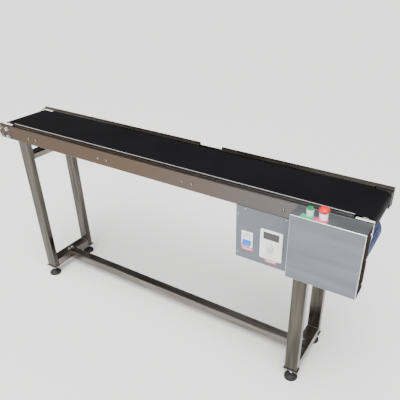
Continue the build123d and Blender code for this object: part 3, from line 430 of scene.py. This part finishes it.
white_nylon = coated("white_nylon", "#f2f1ee", 0.5, 1.5, 0.15, shade=0.95)
white_abs = coated("white_abs", "#f5f5f2", 0.32, 2.5, 0.08, shade=0.96)
blue_abs = coated("blue_abs", "#2a78d6", 0.3, 2.5, 0.08)
green_abs = coated("green_abs", "#0a8a4c", 0.4, 2.5, 0.06)
red_abs = coated("red_abs", "#e8200f", 0.42, 2.5, 0.06)
grey_abs = coated("light_grey_abs", "#cfd2d6", 0.4, 2.0, 0.1)
black_nylon = coated("black_glass_filled_nylon", "#1b1c1e", 0.5, 1.2, 0.2)
black_rubber = coated("black_moulded_rubber", "#161616", 0.7, 1.0, 0.25)
navy_enamel = coated("navy_motor_enamel", "#0c2a60", 0.5, 3.0, 0.2, specular=0.2)
grey_enamel = coated("blue_grey_box_enamel", "#666b74", 0.36, 2.5, 0.15)
smoked_acrylic = coated("smoked_acrylic_window", "#0a0b0d", 0.08, 8.0, 0.01, coat=0.8)
green_film = coated("green_label_film", "#43b478", 0.35, 4.0, 0.05)
pink_film = coated("pink_label_film", "#e8527f", 0.35, 4.0, 0.05)
# The start collar's pale green is a painted reflection of the green cap on white plastic.
collar_painted_green_reflection = coated("mint_tinted_white_abs", "#d6efe4", 0.32, 2.5, 0.08, shade=0.94)
grey_print = coated("pad_printed_grey_ink", "#8d9297", 0.5, 1.0, 0.05)
red_print = coated("pad_printed_red_ink", "#d98a90", 0.5, 1.0, 0.05)
segment_grey = coated("unlit_display_segment", "#565c60", 0.3, 2.0, 0.02)

paint(white_nylon, "takeup_blocks", "drive_bearing_blocks")
paint(white_abs, "breaker_body", "controller_body", "start_button_collar", "stop_button_collar")
paint(blue_abs, "breaker_toggle")
paint(green_abs, "start_button_cap")
paint(red_abs, "stop_button_head", "stop_button_stem")
paint(grey_abs, "speed_knob")
paint(black_nylon, "motor_terminal_box", "cable_gland", "contact_blocks")
paint(black_rubber, "drive_belt", "tail_near_foot", "tail_far_foot", "drive_near_foot", "drive_far_foot")
paint(navy_enamel, "motor_housing", "motor_fan_cover")
paint(grey_enamel, "control_box_body", "control_box_front")
paint(smoked_acrylic, "controller_window")
paint(green_film, "button_labels")
paint(pink_film, "box_label_plates")
print("bare nodes left:", [n for n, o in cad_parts.items() if not o.data.materials])

# %% [markdown]
# ## Where each small solid is
#
# Bolts and screws that are alike share one CAD node, as a group of separate solids. To put a
# finer bolt in the place of each one, we need each solid's own box. The node's mesh is loose
# triangles, so a copy of it is merged first, and then each connected island is walked through.

# %% Solids in a node


def merged_copy(name):
    """A bmesh of a CAD node with its loose triangles joined up."""
    copied = bmesh.new()
    copied.from_mesh(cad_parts[name].data)
    bmesh.ops.remove_doubles(copied, verts=copied.verts, dist=0.00001)
    return copied


def islands(shape):
    """The separate solids of a bmesh, each as a set of vertices."""
    waiting = set(shape.verts)
    found = []
    while waiting:
        island, reached = set(), [waiting.pop()]
        while reached:
            vertex = reached.pop()
            island.add(vertex)
            near = {link.other_vert(vertex) for link in vertex.link_edges} & waiting
            waiting -= near
            reached += near
        found.append(island)
    return found


def solid_boxes(name):
    """The (lowest corner, highest corner) of every separate solid in a CAD node."""
    copied = merged_copy(name)
    boxes = []
    for island in islands(copied):
        low = Vector([min(v.co[axis] for v in island) for axis in range(3)])
        high = Vector([max(v.co[axis] for v in island) for axis in range(3)])
        boxes.append((low, high))
    copied.free()
    return sorted(boxes, key=lambda box: tuple(box[0]))


centre_y = sum(corner[1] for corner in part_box("conveyor_belt")) / 2
print("clamp bolts:", len(solid_boxes("takeup_clamp_bolts")), "belt middle at y", round(centre_y, 4))

# %% [markdown]
# ## Turned pieces and repeated pieces
#
# Screws, feet and knobs are turned shapes: half an outline, spun once round an axis. The spin
# operator does exactly that. A hexagon comes from the same outline: the points that belong to a
# hexagon are pulled out to its six corners after the spin. A shape that is used many times is
# made once and copied to each place inside one mesh.

# %% Spin, copy and finish helpers


def turned(outline, steps=24, hexed=()):
    """A solid from (radius, height) points in mm, spun about Z; rings listed in hexed become hexagons."""
    shape = bmesh.new()
    ring = [shape.verts.new((radius * MM, 0, height * MM)) for radius, height in outline]
    lines = [shape.edges.new(pair) for pair in zip(ring, ring[1:])]
    bmesh.ops.spin(shape, geom=ring + lines, cent=(0, 0, 0), axis=(0, 0, 1),
                   angle=math.tau, steps=steps, use_merge=True)
    bmesh.ops.remove_doubles(shape, verts=shape.verts, dist=0.000001)
    for vertex in shape.verts:
        radius = math.hypot(vertex.co.x, vertex.co.y) / MM
        if any(abs(radius - r) < 0.001 and abs(vertex.co.z / MM - h) < 0.001 for r, h in hexed):
            turn = math.atan2(vertex.co.y, vertex.co.x) % (math.tau / 6) - math.tau / 12
            vertex.co.x /= math.cos(turn)
            vertex.co.y /= math.cos(turn)
    bmesh.ops.recalc_face_normals(shape, faces=shape.faces)
    return shape


def thread(radius, low, high, pitch):
    """Outline points for a thread, drawn as rings, from the low end to the high end."""
    count = int((high - low) / pitch)
    points = []
    for i in range(count):
        base = low + i * pitch
        points += [(radius * 0.9, base + pitch * 0.1), (radius, base + pitch * 0.4),
                   (radius, base + pitch * 0.6), (radius * 0.9, base + pitch * 0.9)]
    return points


def rounded_block(shape, low, high, edge=0.0):
    """Adds a box between two corners in metres to a bmesh, its edges rounded by edge mm."""
    place = Matrix.Translation((Vector(low) + Vector(high)) / 2)
    sizes = [abs(b - a) for a, b in zip(low, high)]
    made = bmesh.ops.create_cube(shape, size=1.0, matrix=place @ Matrix.Diagonal((*sizes, 1.0)))
    if edge:
        edges = list({e for v in made["verts"] for e in v.link_edges})
        bmesh.ops.bevel(shape, geom=edges, offset=edge * MM, offset_type="OFFSET", affect="EDGES",
                        segments=2, profile=0.5, material=-1)
    return shape


def add_copies(group, shape, places):
    """Adds the shape to a bmesh once for every place."""
    single = bpy.data.meshes.new("single")
    shape.to_mesh(single)
    shape.free()
    for place in places:
        before = len(group.verts)
        group.from_mesh(single)
        group.verts.ensure_lookup_table()
        bmesh.ops.transform(group, matrix=place, verts=group.verts[before:])
    bpy.data.meshes.remove(single)
    return group


def facing(place, direction):
    """A matrix that stands a shape made along +Z at a place, looking in a direction."""
    turn = Vector(direction).to_track_quat("Z", "Y").to_matrix().to_4x4()
    return Matrix.Translation(place) @ turn


def pressed_in(shape, steps, share, chosen):
    """Draws points in towards the Z axis where chosen(radius, height, step) says so, in mm."""
    for vertex in shape.verts:
        radius = math.hypot(vertex.co.x, vertex.co.y) / MM
        step = round(math.atan2(vertex.co.y, vertex.co.x) / (math.tau / steps))
        if chosen(radius, vertex.co.z / MM, step):
            vertex.co.x *= share
            vertex.co.y *= share
    return shape


def finish_piece(shape, name, material, body, replaced=(), sharp=35, place=None):
    """Turns a bmesh into an object that rides on a body, shaded smooth up to the sharp angle."""
    if place:
        bmesh.ops.transform(shape, matrix=place, verts=shape.verts)
    mesh = bpy.data.meshes.new(name)
    bmesh.ops.recalc_face_normals(shape, faces=shape.faces)
    shape.to_mesh(mesh)
    shape.free()
    mesh.materials.append(material)
    mesh.shade_smooth()
    mesh.set_sharp_from_angle(angle=math.radians(sharp))
    piece = bpy.data.objects.new(name, mesh)
    bpy.context.scene.collection.objects.link(piece)
    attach(piece, body)
    if replaced:
        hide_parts(*replaced)
    return piece


print("shape helpers ready")

# %% [markdown]
# ## Bolts, screws and nuts
#
# In the CAD model a bolt is a plain hexagon or disc on a rod. Here the heads get the 30 degree
# chamfer that every turned hexagon has, the button heads get their hexagon socket, and each
# stands on its real place: the middle of the CAD solid's box, on the side it looks out of.

# %% Bolts, screws and nuts
M8_HALF_FLATS = 6.5
M8_HEAD = 5.3
M8_SHANK = 4.0
CHAMFER_SHARE = 0.93
HEAD_CHAMFER = 0.6
NUT_CHAMFER = 0.7


def head_places(name, direction, both_sides=False):
    """For each solid of a node, where its outer end is and which way it looks."""
    look = Vector(direction)
    axis = max(range(3), key=lambda i: abs(look[i]))
    places = []
    for low, high in solid_boxes(name):
        outward = look.copy()
        if both_sides and (low.y + high.y) / 2 > centre_y:
            outward = -look
        end = (low + high) / 2
        end[axis] = high[axis] if outward[axis] > 0 else low[axis]
        places.append(facing(end, outward))
    return places


def hexagon_bolt(half_flats, head, washer_radius, washer, shank, grip):
    """A hexagon bolt whose top is at z = 0, with a washer and its shank below."""
    seat, under = -head, -head - washer
    outline = [(0, 0), (half_flats * CHAMFER_SHARE, 0), (half_flats, -HEAD_CHAMFER), (half_flats, seat)]
    if washer:
        outline += [(washer_radius - 0.3, seat), (washer_radius, seat - 0.3), (washer_radius, under)]
    outline += [(shank, under), (shank, under - grip), (0, under - grip)]
    return turned(outline, hexed=[(half_flats, -HEAD_CHAMFER), (half_flats, seat)])


def button_screw(radius, head, socket, shank, grip):
    """A domed screw whose top is at z = 0, with a hexagon socket."""
    deep = -head * 0.75
    outline = [(0, deep), (socket, deep), (socket, 0), (radius * 0.62, -head * 0.06),
               (radius * 0.86, -head * 0.34), (radius, -head * 0.85), (radius, -head),
               (shank, -head), (shank, -head - grip), (0, -head - grip)]
    return turned(outline, hexed=[(socket, deep), (socket, 0)])


clamp_bolt = hexagon_bolt(M8_HALF_FLATS, M8_HEAD, 8.0, 1.6, M8_SHANK, 18.0)
joint_bolt = hexagon_bolt(M8_HALF_FLATS, M8_HEAD, 0, 0, M8_SHANK, 4.0)
member_screw = button_screw(5.0, 3.5, 2.3, 3.0, 5.5)
lid_screw = button_screw(4.5, 2.4, 1.9, 2.5, 6.0)
box_screw = button_screw(3.6, 2.4, 1.6, 2.0, 4.5)
gear_screw = button_screw(5.0, 3.5, 2.3, 3.0, 8.0)
fasteners = [
    ("takeup_clamp_bolts", "clamp_bolts_chamfered", clamp_bolt, (0, -1, 0), True, zinc_plate),
    ("stretcher_bolts", "stretcher_bolts_chamfered", joint_bolt, (0, 0, 1), False, zinc_plate),
    ("cross_member_bolts", "frame_button_screws", member_screw, (0, -1, 0), True, dull_screw),
    ("cover_screws", "cover_button_screws", lid_screw, (1, 0, 0), False, zinc_plate),
    ("control_box_screws", "box_button_screws", box_screw, (0, -1, 0), False, zinc_plate),
    ("motor_bolts", "gearhead_button_screws", gear_screw, (0, -1, 0), False, zinc_plate),
]
for node, name, shape, direction, both_sides, material in fasteners:
    copies = add_copies(bmesh.new(), shape, head_places(node, direction, both_sides))
    body = "takeup_carriage" if node == "takeup_clamp_bolts" else "conveyor_frame"
    finish_piece(copies, name, material, body, [node])


def nut_ring(name, half_flats, bore, axis):
    """Chamfered nuts in the place of a node's plain ones, along Z or along -X."""
    nuts = bmesh.new()
    for low, high in solid_boxes(name):
        height = (high - low)[axis] / MM
        rings = [(half_flats, NUT_CHAMFER), (half_flats, height - NUT_CHAMFER)]
        outline = [(bore, 0), (half_flats * CHAMFER_SHARE, 0), *rings,
                   (half_flats * CHAMFER_SHARE, height), (bore, height), (bore, 0)]
        shape = turned(outline, hexed=rings)
        middle = (low + high) / 2
        if axis == 2:
            place = Matrix.Translation((middle.x, middle.y, low.z))
        else:
            place = facing((high.x, middle.y, middle.z), (-1, 0, 0))
        add_copies(nuts, shape, [place])
    return nuts


finish_piece(nut_ring("takeup_nuts", M8_HALF_FLATS, 4.05, 0), "takeup_nuts_chamfered", zinc_plate,
             "conveyor_frame", ["takeup_nuts"])
finish_piece(nut_ring("foot_lock_nuts", 9.0, 6.05, 2), "lock_nuts_chamfered", zinc_plate,
             "conveyor_frame", ["foot_lock_nuts"])

rods = bmesh.new()
for low, high in solid_boxes("takeup_rods"):
    length = (high.x - low.x) / MM
    outline = [(0, 0), (3.4, 0), *thread(M8_SHANK, 0.4, 34.0, 1.25), (M8_SHANK, 34.5),
               (M8_SHANK, length), (0, length)]
    place = facing((low.x, (low.y + high.y) / 2, (low.z + high.z) / 2), (1, 0, 0))
    add_copies(rods, turned(outline, steps=20), [place])
finish_piece(rods, "takeup_rods_threaded", zinc_plate, "takeup_carriage", ["takeup_rods"])
print("bolts, screws, nuts and rods placed")

# %% [markdown]
# ## Levelling feet
#
# Each foot is a moulded rubber cup on a threaded zinc stud. The cup has a thin sole, a waist and
# a collar that grips the stud. The thread is drawn as rings instead of a helix: the pitch is
# 1.75 mm, and at that size nobody can see the difference, while rings need no joint at the ends.

# %% Levelling feet
for corner in ("tail_near", "tail_far", "drive_near", "drive_far"):
    node, body = corner + "_foot", corner + "_levelling"
    low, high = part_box(node)
    middle = Matrix.Translation(((low[0] + high[0]) / 2, (low[1] + high[1]) / 2, 0))
    cup = turned([(6.0, 12), (0, 12), (0, 0), (24.5, 0), (26, 1.5), (26, 4.8), (25.2, 5.4), (25.2, 6.2),
                  (25.8, 6.8), (24.6, 9.6), (20.5, 13.6), (15.2, 16.6), (12.2, 18.2), (11.4, 20),
                  (10.8, 21), (10.8, 23.4), (10.2, 24), (6.0, 24), (6.0, 12)], steps=40)
    finish_piece(cup, corner + "_cup", black_rubber, body, [node], place=middle)
    stud = turned([(0, 12.1), (5.9, 12.1), (5.9, 26.0)] + thread(6.0, 26.2, 108.0, 1.75)
                  + [(5.4, 108.4), (4.8, 110.0), (0, 110.0)], steps=20)
    finish_piece(stud, corner + "_stud", zinc_plate, body, place=middle)
print("four feet")

# %% [markdown]
# ## Splitting a node in two
#
# The near drive block is white nylon and the far one is black as painted shade for the dark far
# drive end, and the start button's plate is green
# while the stop button's is pink, yet each pair is one CAD node. The CAD solids are good as they
# are, so their mesh is copied, merged, and the islands on one side are kept for each colour.

# %% Bearing blocks and button plates


def kept_solids(name, keep):
    """A merged copy of a CAD node's mesh with only the solids whose middle passes the test."""
    copied = merged_copy(name)
    unwanted = []
    for island in islands(copied):
        middle = sum((v.co for v in island), Vector()) / len(island)
        if not keep(middle):
            unwanted += island
    bmesh.ops.delete(copied, geom=unwanted, context="VERTS")
    return copied


start_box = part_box("start_button_collar")
stop_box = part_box("stop_button_collar")
between_buttons = (start_box[1][0] + stop_box[0][0]) / 2
splits = [
    ("drive_bearing_blocks", "near_bearing_block", lambda m: m.y < centre_y, white_nylon, "white_nylon"),
    # The far block is black as painted shade.
    ("drive_bearing_blocks", "far_bearing_block", lambda m: m.y > centre_y, black_nylon, "black_plastic"),
    ("button_labels", "start_plate", lambda m: m.x < between_buttons, green_film, "label_green"),
    ("button_labels", "stop_plate", lambda m: m.x > between_buttons, pink_film, "label_pink"),
]
for node, name, keep, material, slot in splits:
    finish_piece(kept_solids(node, keep), name, material, "conveyor_frame", [node])
print("split", [row[1] for row in splits])

# %% [markdown]
# ## The push buttons
#
# The start button is a shallow dished cap in a white collar, tinted pale green as a painted
# reflection of the cap. The stop button is a mushroom head
# that is struck with the palm and let go by a twist, so it is wide and well rounded. Both
# collars have a knurled grip below the rim, made by pushing every second ring point inwards.

# %% Push buttons
COLLAR_HEIGHT = 19
KNURL_STEPS = 48
KNURL_DEPTH = 0.45
cover_top = start_box[1][2] - COLLAR_HEIGHT * MM


def button_place(box):
    """A matrix that puts a shape at a button's middle, on the cover's top."""
    return Matrix.Translation(((box[0][0] + box[1][0]) / 2, (box[0][1] + box[1][1]) / 2, cover_top))


def button_collar(radius, recess):
    """A collar with its threaded barrel below, around a 7 mm bore."""
    outline = [(7, -14), (7, 13.5)]
    outline += [(recess, 13.5), (recess, 18.7)] if recess else [(7, 18.4)]
    outline += [((recess or 7) + 0.3, COLLAR_HEIGHT), (radius - 0.5, COLLAR_HEIGHT),
                (radius, 18.5), (radius, 15.6), (radius - 0.5, 15.2), (radius - 0.5, 14.6),
                (radius, 14.2), (radius, 5.2), (radius - 0.5, 4.8), (radius - 0.5, 4.2),
                (radius, 3.8), (radius, 0), (9, 0), (9, -1.5)]
    outline += reversed(thread(8.8, -13.8, -2.0, 1.5))
    outline += [(8.4, -14), (7, -14)]
    return pressed_in(turned(outline, steps=KNURL_STEPS), KNURL_STEPS, 1 - KNURL_DEPTH / radius,
                      lambda far, height, step: far > radius - 0.1 and 5.0 < height < 14.4 and step % 2)


finish_piece(button_collar(11.0, 10.0), "start_collar_knurled", collar_painted_green_reflection, "conveyor_frame",
             ["start_button_collar"], place=button_place(start_box))
finish_piece(button_collar(13.0, 0), "stop_collar_knurled", white_abs, "conveyor_frame",
             ["stop_button_collar"], place=button_place(stop_box))

cap = turned([(0, 24.3), (5.5, 24.45), (8.0, 24.95), (8.9, 24.7), (9.5, 23.9), (9.6, 23.0), (9.6, 18),
              (6.95, 18), (6.95, -10), (0, -10)], steps=40)
finish_piece(cap, "start_cap_dished", green_abs, "start_button",
             ["start_button_cap"], place=button_place(start_box))

head_low = (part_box("stop_button_head")[0][2] - cover_top) / MM
mushroom = turned([(0, head_low + 12), (4.5, head_low + 11.9), (9.0, head_low + 11.0),
                   (12.6, head_low + 9.2), (15.0, head_low + 6.6), (16.0, head_low + 3.8),
                   (15.8, head_low + 1.9), (15.0, head_low + 0.6), (13.8, head_low),
                   (4.55, head_low), (4.55, head_low + 7), (0, head_low + 7)], steps=48)
finish_piece(mushroom, "stop_mushroom", red_abs, "stop_head",
             ["stop_button_head"], place=button_place(stop_box))
print("buttons on the cover, top of the cover at", round(cover_top, 4))

# %% [markdown]
# ## The control box front
#
# The breaker and the speed controller are bought parts with small raised details: a grip line,
# terminal screws, a bezel round the display, a scale round the knob. Each is a thin piece that
# stands a few tenths of a millimetre above the CAD face it belongs to. The digits are plain
# seven-segment eights, unlit, as a display shows when it is off.

# %% Breaker details
breaker_low, breaker_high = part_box("breaker_body")
face = breaker_low.y
middle_x = (breaker_low.x + breaker_high.x) / 2


def plate_on_face(shape, x, z, width, height, y, proud, edge=0.15):
    """Adds a thin block on a face that looks towards -Y; sizes in mm, places in metres."""
    low = (x - width / 2 * MM, y - proud * MM, z - height / 2 * MM)
    high = (x + width / 2 * MM, y + 0.3 * MM, z + height / 2 * MM)
    return rounded_block(shape, low, high, edge)


marks = bmesh.new()
for offset, width in ((6.0, 26.0), (9.2, 30.0), (12.4, 22.0)):
    plate_on_face(marks, middle_x, breaker_high.z - offset * MM, width, 1.1, face, 0.2, 0.05)
plate_on_face(marks, middle_x, breaker_high.z - 16.6 * MM, 34.0, 0.7, face, 0.2, 0.05)
finish_piece(marks, "breaker_marks", grey_print, "conveyor_frame")
terminals = bmesh.new()
terminal = button_screw(3.2, 1.2, 1.5, 1.2, 0.6)
screw_places = [facing((middle_x + side * 10 * MM, face - 1.1 * MM, z), (0, -1, 0))
                for side in (-1, 1) for z in (breaker_high.z - 22.0 * MM, breaker_low.z + 4.2 * MM)]
add_copies(terminals, terminal, screw_places)
finish_piece(terminals, "breaker_terminal_screws", zinc_plate, "conveyor_frame")
print("breaker face at y", round(face, 4))

# %% Speed controller details
DIGIT_PITCH = 10.5
FLUTE_STEPS = 72
SCALE_RADIUS = 13.2

panel_low, panel_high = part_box("controller_body")
face = panel_low.y
panel_x = (panel_low.x + panel_high.x) / 2
window_low, window_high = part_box("controller_window")
window_face = window_low.y
window_x = (window_low.x + window_high.x) / 2
window_z = (window_low.z + window_high.z) / 2

digits = bmesh.new()
for place in range(4):
    x = window_x + (place - 1.5) * DIGIT_PITCH * MM
    for z in (-5.4, 0, 5.4):
        plate_on_face(digits, x, window_z + z * MM, 4.6, 1.0, window_face, 0.08, 0.0)
    for side in (-1, 1):
        for z in (-2.7, 2.7):
            plate_on_face(digits, x + side * 2.9 * MM, window_z + z * MM, 1.0, 4.2, window_face, 0.08, 0.0)
    plate_on_face(digits, x + 4.9 * MM, window_z - 5.4 * MM, 1.0, 1.0, window_face, 0.08, 0.0)
finish_piece(digits, "display_segments", segment_grey, "conveyor_frame")

bezel = bmesh.new()
half_w, half_h = 27.0, 13.4
for x, z, width, height in ((0, half_h, 55.2, 1.2), (0, -half_h, 55.2, 1.2),
                            (-half_w, 0, 1.2, 28.0), (half_w, 0, 1.2, 28.0)):
    plate_on_face(bezel, window_x + x * MM, window_z + z * MM, width, height, face, 0.5, 0.2)
finish_piece(bezel, "display_bezel", grey_abs, "conveyor_frame")

knob_low, knob_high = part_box("speed_knob")
knob_x = (knob_low.x + knob_high.x) / 2
knob_z = (knob_low.z + knob_high.z) / 2
reach = (knob_high.y - knob_low.y) / MM
knob = turned([(0, 0), (8.6, 0), (9.6, -0.5), (10.2, -1.5), (11.0, -9.5), (11.0, -12.0), (3.0, -12.0),
               (3.0, -reach), (0, -reach)], steps=FLUTE_STEPS)
pressed_in(knob, FLUTE_STEPS, 0.95, lambda far, height, step: far > 10.0 and step % 3 == 0)
finish_piece(knob, "speed_knob_fluted", grey_abs, "speed_dial", ["speed_knob"],
             place=facing((knob_x, knob_low.y, knob_z), (0, -1, 0)))
pointer = rounded_block(bmesh.new(), (knob_x - 0.6 * MM, knob_low.y - 0.05 * MM, knob_z + 2.0 * MM),
                        (knob_x + 0.6 * MM, knob_low.y + 0.95 * MM, knob_z + 8.4 * MM))
finish_piece(pointer, "knob_pointer", red_abs, "speed_dial")

scale = bmesh.new()
for step in range(11):
    angle = math.radians(-150 + 30 * step)
    turn = Matrix.Rotation(angle, 4, "Y")
    tick = bmesh.new()
    long = 3.4 if step in (0, 5, 10) else 2.2
    rounded_block(tick, (-0.35 * MM, -0.12 * MM, SCALE_RADIUS * MM),
                  (0.35 * MM, 0.3 * MM, (SCALE_RADIUS + long) * MM))
    add_copies(scale, tick, [Matrix.Translation((knob_x, face, knob_z)) @ turn])
finish_piece(scale, "speed_scale", grey_print, "conveyor_frame")

lamp = turned([(0, 0.9), (1.4, 0.7), (2.2, 0), (2.2, -0.3), (0, -0.3)])
lamp_place = (panel_x - 26 * MM, face, panel_low.z + 16 * MM)
finish_piece(lamp, "status_lamp", smoked_acrylic, "conveyor_frame",
             place=facing(lamp_place, (0, -1, 0)))
panel_marks = bmesh.new()
for x, width in ((-8, 14), (12, 18)):
    plate_on_face(panel_marks, panel_x + x * MM, panel_low.z + 13 * MM, width, 1.6, face, 0.15, 0.05)
finish_piece(panel_marks, "controller_marks", red_print, "conveyor_frame")

box_marks = bmesh.new()
for low, high in solid_boxes("box_label_plates"):
    for drop, width in ((0.33, 36.0), (0.66, 28.0)):
        plate_on_face(box_marks, (low.x + high.x) / 2, high.z - (high.z - low.z) * drop,
                      width, 2.2, low.y, 0.12, 0.0)
finish_piece(box_marks, "box_plate_bars", white_abs, "conveyor_frame")
print("control box details ready")

# %% [markdown]
# ## Weld beads
#
# The stand is welded where a crossbar meets a leg. A bead is a thin line of overlapping ripples:
# one small flattened ball every 2.4 mm, in a row along the seam. Only the two long seams of each
# joint are welded on stands like this.

# %% Weld beads
BEAD_RADIUS = 1.7 * MM
BEAD_PITCH = 0.0024
SEAM_MARGIN = 0.003

drop = bmesh.new()
bmesh.ops.create_icosphere(drop, subdivisions=1, radius=BEAD_RADIUS)
flattened = Matrix.Diagonal((1.0, 0.8, 0.8, 1.0))
bead_places = []
for node in ("upper_crossbars", "lower_crossbars"):
    for low, high in solid_boxes(node):
        for y in (low.y + 0.0003, high.y - 0.0003):
            for z in (low.z + 0.0004, high.z - 0.0004):
                count = int((high.x - low.x - 2 * SEAM_MARGIN) / BEAD_PITCH)
                for i in range(count):
                    x = low.x + SEAM_MARGIN + i * BEAD_PITCH
                    bead_places.append(Matrix.Translation((x, y, z)) @ flattened)
beads = add_copies(bmesh.new(), drop, bead_places)
finish_piece(beads, "weld_beads", weld_steel, "conveyor_frame", sharp=80)
print("weld beads:", len(bead_places))
